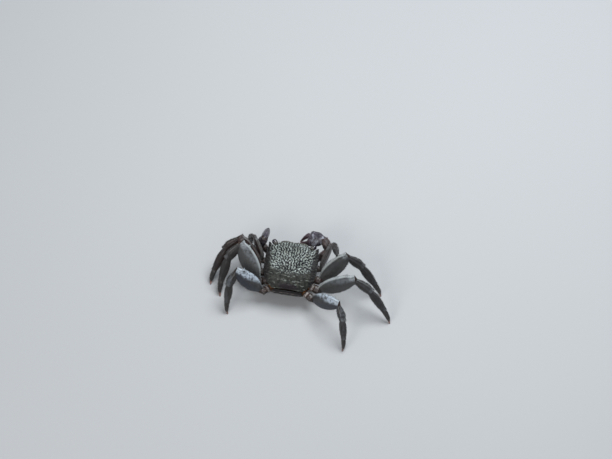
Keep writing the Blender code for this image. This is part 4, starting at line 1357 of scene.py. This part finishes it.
def mouth_plate_skin(body, side):
    """One of the two plates over the mouth: two joined pieces, with a slanting hairy ridge."""
    table = np.array(MOUTH_PLATE_STATIONS)[::-1]
    up = np.linspace(table[0, 0], table[-1, 0], 90)
    half, forward = through(table[:, 0], table[:, 1:], up).T
    turns = ring(MOUTH_PLATE_SIDES)
    outer = smooth_step(0.1, 0.7, np.sin(turns))[None]
    wide = boxed(np.cos(turns), 0.8)
    inward = -side * half[:, None] * wide
    gape = peak(up + 11.6, 1.9)[:, None] * smooth_step(0.0, 1.0, -side * wide)[None]
    across = half[:, None] * wide * (1.0 - 0.34 * gape)
    thick = MOUTH_PLATE_HALF_THICK * boxed(np.sin(turns), 0.75)
    hang = 0.12 * np.abs(wide[None]) ** 2 * half[:, None]
    grid = np.stack((
        side * MOUTH_PLATE_MIDDLE + across,
        -(forward[:, None] + thick[None] - hang * outer),
        each_ring(up, MOUTH_PLATE_SIDES),
    ), axis=-1)
    z = grid[..., 2]
    seam = peak(z + 11.9 - 0.22 * inward, 0.17)
    slope = inward - 0.2 - 0.75 * (z + 12.0)
    ridge = peak(slope, 0.30) * smooth_step(-15.6, -14.6, z) * smooth_step(-9.0, -10.2, z)
    furrow = peak(slope + 0.75, 0.28) * smooth_step(-15.6, -14.2, z)
    groove = outer * np.maximum(seam, 0.8 * furrow)
    fine = grains(grid, 0.42, 51.0)
    grid = raised(grid, outer * (0.09 * fine + 0.30 * ridge - 0.38 * seam - 0.22 * furrow))
    rim = smooth_step(0.80, 0.97, -side * wide)[None]
    bristle = outer * (ridge + 0.10) + 0.9 * rim
    start, end = mirrored(MOUTH_PLATE_FOOT, side), mirrored(MOUTH_PLATE_TOP, side)
    skin = Skin(grid, start, end, body, groove=groove, bristle=bristle)
    skin.marks["lie"] = 0.6 * skin.marks["lie"] + body_way(body, (-side, -0.6, 0.0))
    return skin


# The palp and the outer branch: stations, and their places from root to tip
MOUTH_FEELERS = (
    (((0.0, 0.0, 0.46, 0.46), (0.9, 0.0, 0.60, 0.5), (1.35, 0.0, 0.40, 0.38), (1.7, 0.0, 0.54, 0.46),
      (2.7, 0.0, 0.50, 0.42), (3.1, 0.0, 0.34, 0.32), (3.5, 0.0, 0.44, 0.36), (4.6, 0.0, 0.22, 0.2)),
     (2.5, 13.0, -9.2), (1.05, 12.0, -13.4)),
    (((0.0, 0.0, 0.40, 0.34), (3.0, 0.0, 0.50, 0.36), (6.2, 0.0, 0.42, 0.34), (6.9, 0.0, 0.2, 0.2)),
     (6.55, 8.3, -15.4), (6.45, 12.3, -9.4)),
)


def mouth_feeler_skins(body, side):
    """The jointed palp on a mouth plate's inner edge and the slender branch on its outer edge."""
    skins = []
    for stations, start, end in MOUTH_FEELERS:
        limb = Limb(stations, 60, 28, end="tip")
        place = body_limb_frame(body, side, start, end, (0.0, 1.0, 0.0))
        fine = 0.04 * grains(limb.grid(), 0.4, 55.0)
        bristle = 0.25 + 0.75 * smooth_step(0.55, 0.8, limb.share())
        skins.append(limb.skin(place, fine, groove=0.0, bristle=bristle))
    return skins


def eye_skin(body, side):
    """An eye: a short stalk with a round cornea at its end."""
    length = (Vector(EYE_PLACE) - Vector(EYE_ROOT)).length
    table = np.array((
        (-0.85, 0.32), (-0.6, 0.62), (0.0, 0.98), (0.30 * length, 1.14), (0.46 * length, 1.26),
        (0.62 * length, 1.52), (length - 0.7, 1.74), (length, EYE_RADIUS), (length + 0.6, 1.70),
        (length + 1.15, 1.34), (length + 1.55, 0.78), (length + 1.72, 0.30),
    ))
    x = np.linspace(table[0, 0], table[-1, 0], 84)
    radius = through(table[:, 0], table[:, 1], x)[:, None]
    turns = ring(EYE_SIDES)
    grid = np.stack((each_ring(x, EYE_SIDES), radius * np.sin(turns), radius * np.cos(turns)), axis=-1)
    along = grid[..., 0] / length
    cap = along - 0.20 * np.cos(turns)[None] - 0.06 * np.cos(3.0 * turns)[None]
    cornea = smooth_step(0.66, 0.76, cap)
    lip = peak(cap - 0.71, 0.03)
    stalk = (1.0 - cornea) * (0.10 + 0.06 * grains(grid, 0.4, 61.0) + 0.05 * soft_noise(grid, 0.8, 62.0))
    grid = raised(grid, stalk - 0.10 * lip)
    place = body_limb_frame(body, side, EYE_ROOT, EYE_PLACE)
    start, end = (-0.9, 0.0, 0.0), (length + 1.76, 0.0, 0.0)
    bristle = (1.0 - cornea) * smooth_step(0.25, 0.5, along) * 0.25
    return Skin(grid, start, end, place, cornea=cornea, bristle=bristle)


def feeler_skin(body, side):
    """A feeler: three stout joints and a ringed whip."""
    length = (Vector(FEELER_TIP) - Vector(FEELER_ROOT)).length
    stations = [(share * length, 0.0, radius, radius) for share, radius in FEELER_SHAPE]
    limb = Limb(stations, 90, 20, end="tip")
    ripple = 0.02 * waves(limb.x, 0.22) * smooth_step(0.5, 0.55, limb.share())
    place = body_limb_frame(body, side, FEELER_ROOT, FEELER_TIP)
    return limb.skin(place, ripple, bristle=0.2)


def small_feeler_skin(body, side):
    """A small folded feeler under the front."""
    limb = Limb(SMALL_FEELER_SHAPE, 40, 24, end="tip")
    place = body_limb_frame(body, side, SMALL_FEELER_ROOT, SMALL_FEELER_TIP)
    return limb.skin(place, bristle=0.3)


# Legs

def merus_relief(limb, seed):
    """The broad third piece: cross wrinkles, a grainy upper edge and a spine near its end."""
    share = limb.share()
    flat = limb.flat()
    wobble = soft_noise(flat, 2.2, seed)
    ridges = waves(limb.x + 0.5 * flat[..., 1] + 0.9 * wobble, 1.05)
    broken = smooth_step(-0.2, 0.5, soft_noise(flat * (0.8, 0.35), 1.1, seed + 1.0))
    face = np.abs(np.sin(limb.around)) ** 0.6
    height = 0.075 * np.maximum(ridges, 0.0) * broken * face
    height += 0.05 * grains(flat, 0.6, seed + 2.0) * face
    height += 0.20 * limb.keel(0.62, 0.14) * smooth_step(0.08, 0.3, share)
    height -= 0.12 * limb.keel(0.95, 0.20) * smooth_step(0.1, 0.3, share)
    height += 0.16 * limb.keel(2.55, 0.14)
    saw = 0.5 + 0.5 * waves(limb.x, 0.85)
    height += 0.22 * saw * limb.keel(0.0, 0.12) * smooth_step(0.1, 0.25, share)
    height += 1.15 * (peak(share - 0.885, 0.018) * limb.keel(0.0, 0.16))
    return height * smooth_step(-0.02, 0.06, share)


def carpus_relief(limb, seed):
    """The short fourth piece, with two long ridges."""
    height = 0.05 * grains(limb.flat(), 0.6, seed)
    height += 0.24 * limb.keel(0.55, 0.16) + 0.20 * limb.keel(1.45, 0.16)
    height -= 0.14 * limb.keel(1.0, 0.2)
    return height * smooth_step(0.0, 0.15, limb.share())


def propodus_relief(limb, seed):
    """The long fifth piece, with ridges that carry the bristles."""
    height = 0.045 * grains(limb.flat(), 0.55, seed)
    height += 0.20 * limb.keel(0.45, 0.15) + 0.16 * limb.keel(1.5, 0.15)
    height += 0.16 * limb.keel(2.6, 0.15)
    height -= 0.10 * limb.keel(1.0, 0.2)
    return height * smooth_step(0.0, 0.12, limb.share())


def dactyl_relief(limb, _seed):
    """The last piece: a fluted claw with a smooth point, without grains."""
    share = limb.share()
    flutes = np.cos(6.0 * limb.around)
    smooth_end = 1.0 - smooth_step(0.70, 0.88, share)
    return 0.075 * flutes * smooth_end * smooth_step(0.0, 0.12, share) * (limb.high > 0.2)


def merus_bristles(limb):
    """Where the third piece carries bristles: its edges and, thinly, its faces."""
    share = limb.share()
    edge = limb.keel(0.0, 0.16) + 0.7 * limb.keel(pi, 0.2)
    return edge * 0.8 * smooth_step(0.1, 0.3, share) + 0.03


def rough_bristles(limb):
    """Where the fourth and fifth pieces carry bristles: in rows on their ridges."""
    share = limb.share()
    rows = limb.keel(0.0, 0.35) + limb.keel(0.55, 0.2) + 0.8 * limb.keel(1.5, 0.25)
    rows = rows + limb.keel(2.6, 0.3) + 0.8 * limb.keel(pi, 0.3)
    return (rows * 0.8 + 0.12) * smooth_step(0.08, 0.3, share)


def dactyl_bristles(limb):
    """Where the last piece carries bristles: between its flutes, never on its point."""
    share = limb.share()
    rows = 0.25 + 0.75 * (0.5 + 0.5 * np.cos(6.0 * limb.around))
    return rows * smooth_step(0.08, 0.2, share) * (1.0 - smooth_step(0.58, 0.74, share))


# Relief, bristles, rings, points round a ring, slant of the socket, and how much film, painted highlight
# and painted shade a piece takes
LEG_FINISH = {
    "merus": (merus_relief, merus_bristles, 112, 76, 2.4, 1.0),
    "carpus": (carpus_relief, rough_bristles, 60, 52, 0.5, 0.35),
    "propodus": (propodus_relief, rough_bristles, 84, 52, 0.4, 0.2),
    "dactyl": (dactyl_relief, dactyl_bristles, 72, 42, 0.0, 0.0),
}
LEG_MARKS = "place share upper inside brown film sheen broad olive"


def build_leg(name, side, body, paints):
    """One walking leg and the soft skin of its joints. Returns the skins that carry bristles."""
    sizes = LEG_SIZES[name.rsplit("_", 1)[0]]
    brown, film, sheen, olive = LEG_POSES[name]["look"]
    seed = 70.0 + 10.0 * list(LEG_POSES).index(name)
    root, hip = sizes["root"], sizes["hip"]
    length = (Vector(hip) - Vector(root)).length
    half = min(COXA_HALF, COXA_SHARE * sizes["broad"])
    stations = [(way * length, 0.0, share * half, share * half) for way, share in COXA_SHAPE]
    limb = Limb(stations, 60, 48, reach=0.5, cut=0.6)
    share = limb.x / length
    groove = peak(share - 0.62 - 0.05 * np.cos(limb.around), 0.035)
    relief = 0.06 * grains(limb.grid(), 0.6, seed) - 0.42 * groove + 0.18 * limb.keel(0.7, 0.2)
    skin = limb.skin(body_limb_frame(body, side, root, hip), relief, groove=groove,
                     warm=WARM_ROOTS.get(name, 0.0), bristle=0.12)
    show(name + "_coxa_shell", [skin], "place share groove warm", paints["root"], name + "_coxa")
    skins, joints = [skin], []
    frames = leg_frames(name, side, body)
    for (piece, shape, thickness), length, place in zip(LEG_PIECES, sizes["lengths"], frames):
        relief_of, bristles_of, rows, sides, cut, broad = LEG_FINISH[piece]
        thick = thickness * sizes["broad"]
        stations = [(way * length, rise * sizes["broad"], high * sizes["broad"], part * thick)
                    for way, rise, high, part in shape]
        end = "tip" if piece == "dactyl" else "socket"
        following = Limb(stations, rows, sides, end=end, cut=cut)
        following_skin = following.skin(
            place, relief_of(following, seed), bristle=bristles_of(following), brown=brown,
            film=film, sheen=sheen, broad=broad, olive=olive,
        )
        if piece == "dactyl":
            following_skin.grid[..., 2] = np.maximum(following_skin.grid[..., 2], 0.0)
            following_skin.end[2] = max(following_skin.end[2], 0.0)
        paint = paints["tip"] if piece == "dactyl" else paints["leg"]
        show(name + "_" + piece + "_shell", [following_skin], LEG_MARKS, paint, name + "_" + piece)
        joints.append(joint_skin(skin, limb, following_skin, following))
        skins.append(following_skin)
        skin, limb = following_skin, following
    show(name + "_joints", joints, "share", paints["joint"], None)
    return skins


# Claws

def arm_relief(limb, seed):
    """Grains of the arm pieces, coarser along the edges."""
    grain = grains(limb.grid(), 0.75, seed)
    ridge = limb.keel(0.0, 0.3) + limb.keel(pi, 0.3) + limb.keel(1.3, 0.2)
    return 0.09 * grain + 0.12 * ridge + 0.14 * grain * ridge, grain * (0.4 + 0.6 * np.clip(ridge, 0, 1))


def palm_relief(limb, seed):
    """Grains of the palm, its upper crest and the teeth of the fixed finger."""
    grid = limb.grid()
    x = limb.x
    palm = 1.0 - smooth_step(12.0, 14.0, x)
    grain = grains(grid, 0.72, seed) * palm * smooth_step(0.6, 2.4, x)
    height = 0.12 * grain
    height += 0.20 * limb.keel(0.0, 0.16) * palm * smooth_step(2.0, 4.0, x)
    beads = (0.5 + 0.5 * waves(x, 0.8)) * limb.keel(0.22, 0.10)
    height += 0.16 * beads * palm * smooth_step(2.0, 4.0, x)
    finger = smooth_step(13.2, 14.2, x) * (1.0 - smooth_step(18.3, 19.0, x))
    tooth = np.maximum(waves(x, 0.95), 0.0) * limb.keel(0.0, 0.45) * finger
    return height + 0.34 * tooth, grain, tooth


def finger_relief(limb, seed):
    """Beads on top of the moving finger and teeth under it."""
    x = limb.x
    run = smooth_step(12.0, 13.2, x) * (1.0 - smooth_step(18.0, 18.9, x))
    beads = np.maximum(waves(x, 0.62), 0.0) * limb.keel(0.25, 0.22)
    tooth = np.maximum(waves(x, 0.85), 0.0) * limb.keel(pi, 0.5) * run
    grain = grains(limb.grid(), 0.6, seed) * (1.0 - smooth_step(13.0, 15.0, x))
    return 0.16 * beads * run + 0.30 * tooth + 0.08 * grain, grain, tooth


def build_claw(label, side, body, paints):
    """One arm with its claw and joint skins. Returns the skins that carry bristles."""
    pose = ARM_POSES[label]
    joints_at = (ARM_ROOT, pose["shoulder"], pose["elbow"], pose["wrist"])
    base = "claw_" + label + "_"
    seed = 200.0 + 20.0 * side
    skins, joints, last = [], [], None
    for (piece, shape, cut), start, end in zip(ARM_PIECES, joints_at, joints_at[1:]):
        length = (Vector(end) - Vector(start)).length
        stations = [(way * length, rise, high, thick) for way, rise, high, thick in shape]
        limb = Limb(stations, 76, 64, reach=0.2, cut=cut, neck=-0.04)
        relief, grain = arm_relief(limb, seed)
        violet = pose["violet"] * (piece == "carpus") * smooth_step(0.1, 0.5, limb.x / length)
        skin = limb.skin(body_limb_frame(body, side, start, end), relief, grain=grain, violet=violet,
                         bristle=0.12 + 0.5 * limb.keel(pi, 0.3))
        show(base + piece + "_shell", [skin], "place grain inside violet", paints["arm"],
             base + piece)
        if last:
            joints.append(joint_skin(*last, skin, limb))
        skins.append(skin)
        last = (skin, limb)
    place = body_limb_frame(body, side, pose["wrist"], pose["tip"], pose["edge"])
    limb = Limb(PALM_SHAPE, 150, 84, end="tip", neck=-0.02)
    relief, grain, tooth = palm_relief(limb, seed + 3.0)
    balls = [((x, 0.0, z), 0.5 * (high + thick) + 0.25) for x, z, high, thick in FINGER_SHAPE[:2]]
    balls.append(FINGER_HINGE)
    grid = hollowed(limb.grid(relief), FINGER_HOLLOW_ROWS, balls, (-1.0, 0.0, 0.0))
    skin = limb.skin(place, relief, grain=grain, tooth=tooth,
                     bristle=0.05 + 0.25 * limb.keel(pi, 0.4))
    skin.grid = Skin(grid, (0, 0, 0), (0, 0, 0), place).grid
    joints.append(joint_skin(*last, skin, limb))
    skins.append(skin)
    show(base + "palm_shell", [skin], "place grain tooth", paints["claw"], base + "palm")
    limb = Limb(FINGER_SHAPE, 84, 60, end="tip")
    relief, grain, tooth = finger_relief(limb, seed + 5.0)
    skin = limb.skin(place, relief, grain=grain, tooth=tooth,
                     bristle=0.12 + 0.4 * limb.keel(0.6, 0.3))
    show(base + "finger_shell", [skin], "place grain tooth", paints["claw"], base + "finger")
    skins.append(skin)
    show(base + "joints", joints, "share", paints["joint"], None)
    return skins


# Rings of the soft skin over the roots of the legs: height and share of the shell's outline
ROOT_SKIN_RINGS = (
    (-7.6, 0.70), (-7.9, 0.83), (-8.6, 0.85), (-9.4, 0.83), (-10.4, 0.80), (-11.2, 0.72),
)


def root_skin(body):
    """The soft skin between the shell's underside and the roots of the legs."""
    outline = shell_outline(220)
    rings = []
    for up, share in ROOT_SKIN_RINGS:
        x, f = outline.T
        inward = smooth_step(4.0, 8.0, f)
        f = f * share * (1.0 - 0.55 * inward)
        rings.append(np.stack((x * share * (1.0 - 0.2 * inward), -f, np.full_like(x, up)), axis=1))
    knots = np.arange(len(rings))
    grid = through(knots, np.array(rings), np.linspace(0.0, len(rings) - 1.0, 22))
    folds = 0.16 * np.sin(grid[..., 2] * 7.0 + 2.0 * soft_noise(grid, 2.5, 91.0))
    grid = raised(grid, folds + 0.12 * soft_noise(grid, 1.1, 92.0))
    return Skin(grid, (0.0, 0.0, -7.6), (0.0, 0.0, -11.2), body)


# Bristles

BRISTLE_SIDES = 3
BRISTLE_STEPS = 4
UV_PATCH = 0.003

# Bristles by the kind of piece, in metres: density, length, radius, how upright they stand, bend
BRISTLE_SIZES = ("Density", "Length", "Radius", "Stand", "Bend")
BRISTLES = {
    "shell": (5.0e6, 0.0008, 0.00005, 0.9, 0.25),
    "claw": (4.0e6, 0.0009, 0.00005, 0.7, 0.2),
    "mouth": (40.0e6, 0.0006, 0.00003, 0.6, 0.3),
    "leg": (11.0e6, 0.00115, 0.00005, 0.75, 0.2),
}


class Growth(Tree):
    """A tree of geometry nodes that grows bristles."""

    def __init__(self, name):
        self.tree = bpy.data.node_groups.new(name, "GeometryNodeTree")
        self.tree.is_modifier = True

    def socket(self, name, kind, way="INPUT"):
        """A named input or output of the tree."""
        self.tree.interface.new_socket(name=name, in_out=way, socket_type="NodeSocket" + kind)

    def vector(self, operation, inputs):
        """A Vector Math node's result."""
        node = self.node("ShaderNodeVectorMath", {"operation": operation}, inputs)
        return node.outputs[0]

    def scaled(self, vector, number):
        """A vector times a number."""
        return self.vector("SCALE", {0: vector, "Scale": number})

    def random(self, kind, low, high, seed):
        """A random number or vector for each bristle."""
        first, output = (2, 1) if kind == "FLOAT" else (0, 0)
        inputs = {first: low, first + 1: high, "Seed": seed}
        return self.node("FunctionNodeRandomValue", {"data_type": kind}, inputs).outputs[output]

    def mark(self, name, kind="FLOAT"):
        """A mark that the carrier's mesh holds."""
        node = self.node("GeometryNodeInputNamedAttribute", {"data_type": kind}, {"Name": name})
        return node.outputs["Attribute"]

    def keep(self, geometry, name, value, kind="FLOAT", domain="POINT"):
        """The geometry with a named value stored on it."""
        node = self.node("GeometryNodeStoreNamedAttribute", {"data_type": kind, "domain": domain},
                         {"Geometry": geometry, "Name": name, "Value": value})
        return node.outputs["Geometry"]


def bristle_growth():
    """Bristles over a skin: tapered, bent along the skin's lie, of uneven length."""
    grow = Growth("bristles")
    grow.socket("Skin", "Geometry")
    for name in BRISTLE_SIZES:
        grow.socket(name, "Float")
    grow.socket("Seed", "Int")
    grow.socket("Material", "Material")
    grow.socket("Geometry", "Geometry", "OUTPUT")
    given = grow.node("NodeGroupInput").outputs
    length, radius, seed = (Number(grow, given[name]) for name in ("Length", "Radius", "Seed"))
    cone = grow.node("GeometryNodeMeshCone", {"fill_type": "TRIANGLE_FAN"}, {
        "Vertices": BRISTLE_SIDES, "Side Segments": BRISTLE_STEPS, "Radius Top": 0.0,
        "Radius Bottom": radius, "Depth": length,
    }).outputs["Mesh"]
    place = grow.node("GeometryNodeInputPosition").outputs["Position"]
    tip = Number(grow, grow.node("ShaderNodeSeparateXYZ", None, {0: place}).outputs[2]) / length
    cone = grow.keep(cone, "local", grow.scaled(place, 0.25 / radius), "FLOAT_VECTOR")
    cone = grow.keep(cone, "tip", tip)
    bow = (tip * tip) * (length * given["Bend"])
    offset = grow.node("ShaderNodeCombineXYZ", None, {0: bow}).outputs[0]
    cone = grow.node("GeometryNodeSetPosition", None, {"Geometry": cone, "Offset": offset}).outputs[0]
    spots = grow.node("GeometryNodeDistributePointsOnFaces", None, {
        "Mesh": given["Skin"], "Density": Number(grow, grow.mark("bristle")) * given["Density"],
        "Seed": seed,
    }).outputs
    jitter = grow.random("FLOAT_VECTOR", (-0.28, -0.28, -0.28), (0.28, 0.28, 0.28), seed)
    lie = grow.mark("lie", "FLOAT_VECTOR")
    stand = grow.vector("ADD", {0: grow.scaled(spots["Normal"], given["Stand"]), 1: lie})
    turn = grow.node("FunctionNodeAxesToRotation", {"primary_axis": "Z", "secondary_axis": "X"}, {
        "Primary Axis": grow.vector("ADD", {0: stand, 1: jitter}), "Secondary Axis": lie,
    }).outputs["Rotation"]
    grown = grow.node("GeometryNodeInstanceOnPoints", None, {
        "Points": spots["Points"], "Instance": cone, "Rotation": turn,
        "Scale": grow.random("FLOAT", 0.45, 1.15, seed + 7.0),
    }).outputs["Instances"]
    grown = grow.node("GeometryNodeRealizeInstances", None, {"Geometry": grown}).outputs["Geometry"]
    local = grow.scaled(grow.mark("local", "FLOAT_VECTOR"), UV_PATCH)
    patch = grow.vector("ADD", {0: grow.mark("root", "FLOAT_VECTOR"), 1: local})
    grown = grow.keep(grown, "OFBake", patch, "FLOAT2", "CORNER")
    inputs = {"Geometry": grown, "Material": given["Material"]}
    grown = grow.node("GeometryNodeSetMaterial", None, inputs).outputs["Geometry"]
    grow.node("NodeGroupOutput", None, {"Geometry": grown})
    return grow.tree


def coat(name, skins, growth, material, slot, seed):
    """The bristles of some skins as one piece of plain mesh."""
    sizes = dict(zip(BRISTLE_SIZES, BRISTLES[slot]), Seed=seed, Material=material)
    carrier = added(name + "_carrier", mesh_of(name + "_carrier", skins, "bristle lie", True))
    modifier = carrier.modifiers.new("bristles", "NODES")
    modifier.node_group = growth
    for item in growth.interface.items_tree:
        if item.in_out == "INPUT" and item.name in sizes:
            modifier[item.identifier] = sizes[item.name]
    bpy.context.view_layer.update()
    grown = carrier.evaluated_get(bpy.context.evaluated_depsgraph_get())
    mesh = bpy.data.meshes.new_from_object(grown)
    mesh.name = name
    bpy.data.objects.remove(carrier)
    for mark in ("bristle", "lie", "root", "local"):
        if mark in mesh.attributes:
            mesh.attributes.remove(mesh.attributes[mark])
    mesh.shade_smooth()
    show_mesh(name, mesh, material, None)


# The whole animal

def build_crab():
    """Every piece of the crab."""
    body = body_frame()
    paints = {
        "shell": shell_paint(), "belly": belly_paint(), "tail": tail_paint(), "root": root_paint(),
        "leg": leg_paint(), "tip": tip_paint(), "claw": claw_paint(), "arm": arm_paint(),
        "joint": joint_paint(), "root_skin": root_skin_paint(), "eye": eye_paint(),
        "feeler": feeler_paint(), "mouth": mouth_paint(), "bristle": bristle_paint(),
    }
    growth = bristle_growth()
    hair = paints["bristle"]
    shell, plate, flap = shell_skin(body), breastplate_skin(body), tail_flap_skin(body)
    show("back_shell", [shell], "place grain furrow", paints["shell"], "carapace")
    show("breastplate", [plate], "place groove", paints["belly"], "sternum")
    show("tail_flap", [flap], "place share groove", paints["tail"], "abdomen")
    show("root_skin", [root_skin(body)], "place", paints["root_skin"], None)
    coat("shell_bristles", [shell, plate, flap], growth, hair, "shell", 1)
    face = []
    for label, side in SIDES.items():
        eye, small = eye_skin(body, side), small_feeler_skin(body, side)
        mouth, branches = mouth_plate_skin(body, side), mouth_feeler_skins(body, side)
        show("eye_" + label + "_ball", [eye], "place cornea", paints["eye"], "eye_" + label)
        show("feeler_" + label, [feeler_skin(body, side)], "place share", paints["feeler"],
             "antenna_" + label)
        show("small_feeler_" + label, [small], "place share", paints["feeler"], None)
        show("mouth_plate_" + label, [mouth], "place groove", paints["mouth"],
             "maxilliped_" + label)
        show("mouth_feelers_" + label, branches, "place groove", paints["mouth"], None)
        face += [eye, mouth, small] + branches
        arm = build_claw(label, side, body, paints)
        coat("arm_" + label + "_bristles", arm, growth, hair, "claw", 5 + side)
    coat("face_bristles", face, growth, hair, "mouth", 11)
    for number, name in enumerate(LEG_POSES):
        leg = build_leg(name, SIDES[name.rsplit("_", 1)[1]], body, paints)
        coat(name + "_bristles", leg, growth, hair, "leg", 20 + number)


# Floor, light and camera

def lamp(name, place, size, power, colour):
    """A soft round light aimed at the crab."""
    light = bpy.data.lights.new(name, "AREA")
    light.shape = "DISK"
    light.size = size
    light.energy = power
    light.color = colour
    holder = added(name, light)
    holder.location = place
    aim = Vector(place) - Vector(LAMP_AIM)
    holder.rotation_euler = aim.to_track_quat("Z", "Y").to_euler()


def build_stage():
    """A wide pale floor, soft cool light from above and behind, and a little light in front."""
    mesh = bpy.data.meshes.new("floor")
    corners = ((-1, -1), (1, -1), (1, 1), (-1, 1))
    mesh.from_pydata([(FLOOR_HALF * x, FLOOR_HALF * y, 0.0) for x, y in corners], [], [(0, 1, 2, 3)])
    mesh.materials.append(soft_floor_paint())
    floor = added("floor", mesh)
    for values in LAMPS:
        lamp(*values)
    world = bpy.data.worlds.new("world")
    world.use_nodes = True
    back = world.node_tree.nodes["Background"]
    back.inputs["Color"].default_value = SKY_COLOUR
    back.inputs["Strength"].default_value = SKY_STRENGTH
    bpy.context.scene.world = world
    bpy.context.scene.view_settings.view_transform = "Standard"


def build_camera():
    """The camera of the photo: the middle of the back falls where the photo has it."""
    turn, rise = radians(CAMERA_TURN), radians(CAMERA_RISE)
    level = Vector((sin(turn), -cos(turn), 0.0))
    ahead = level * cos(rise) - Vector((0.0, 0.0, 1.0)) * sin(rise)
    right = ahead.cross(Vector((0.0, 0.0, 1.0))).normalized()
    upward = right.cross(ahead)
    focal = PIXELS_PER_METRE * CAMERA_AWAY
    aside = (BACK_IN_PHOTO[0] - 0.5 * PHOTO_SIZE[0]) / focal
    below = (BACK_IN_PHOTO[1] - 0.5 * PHOTO_SIZE[1]) / focal
    ray = ahead + right * aside - upward * below
    back = body_frame().translation
    data = bpy.data.cameras.new("camera")
    data.sensor_width = SENSOR
    data.lens = SENSOR * focal / PHOTO_SIZE[0]
    data.clip_end = 20.0
    camera = added("camera", data)
    turned = Matrix((right, upward, -ahead)).transposed().to_4x4()
    camera.matrix_world = Matrix.Translation(back - ray * CAMERA_AWAY) @ turned
    bpy.context.scene.camera = camera


build_crab()
build_stage()
build_camera()
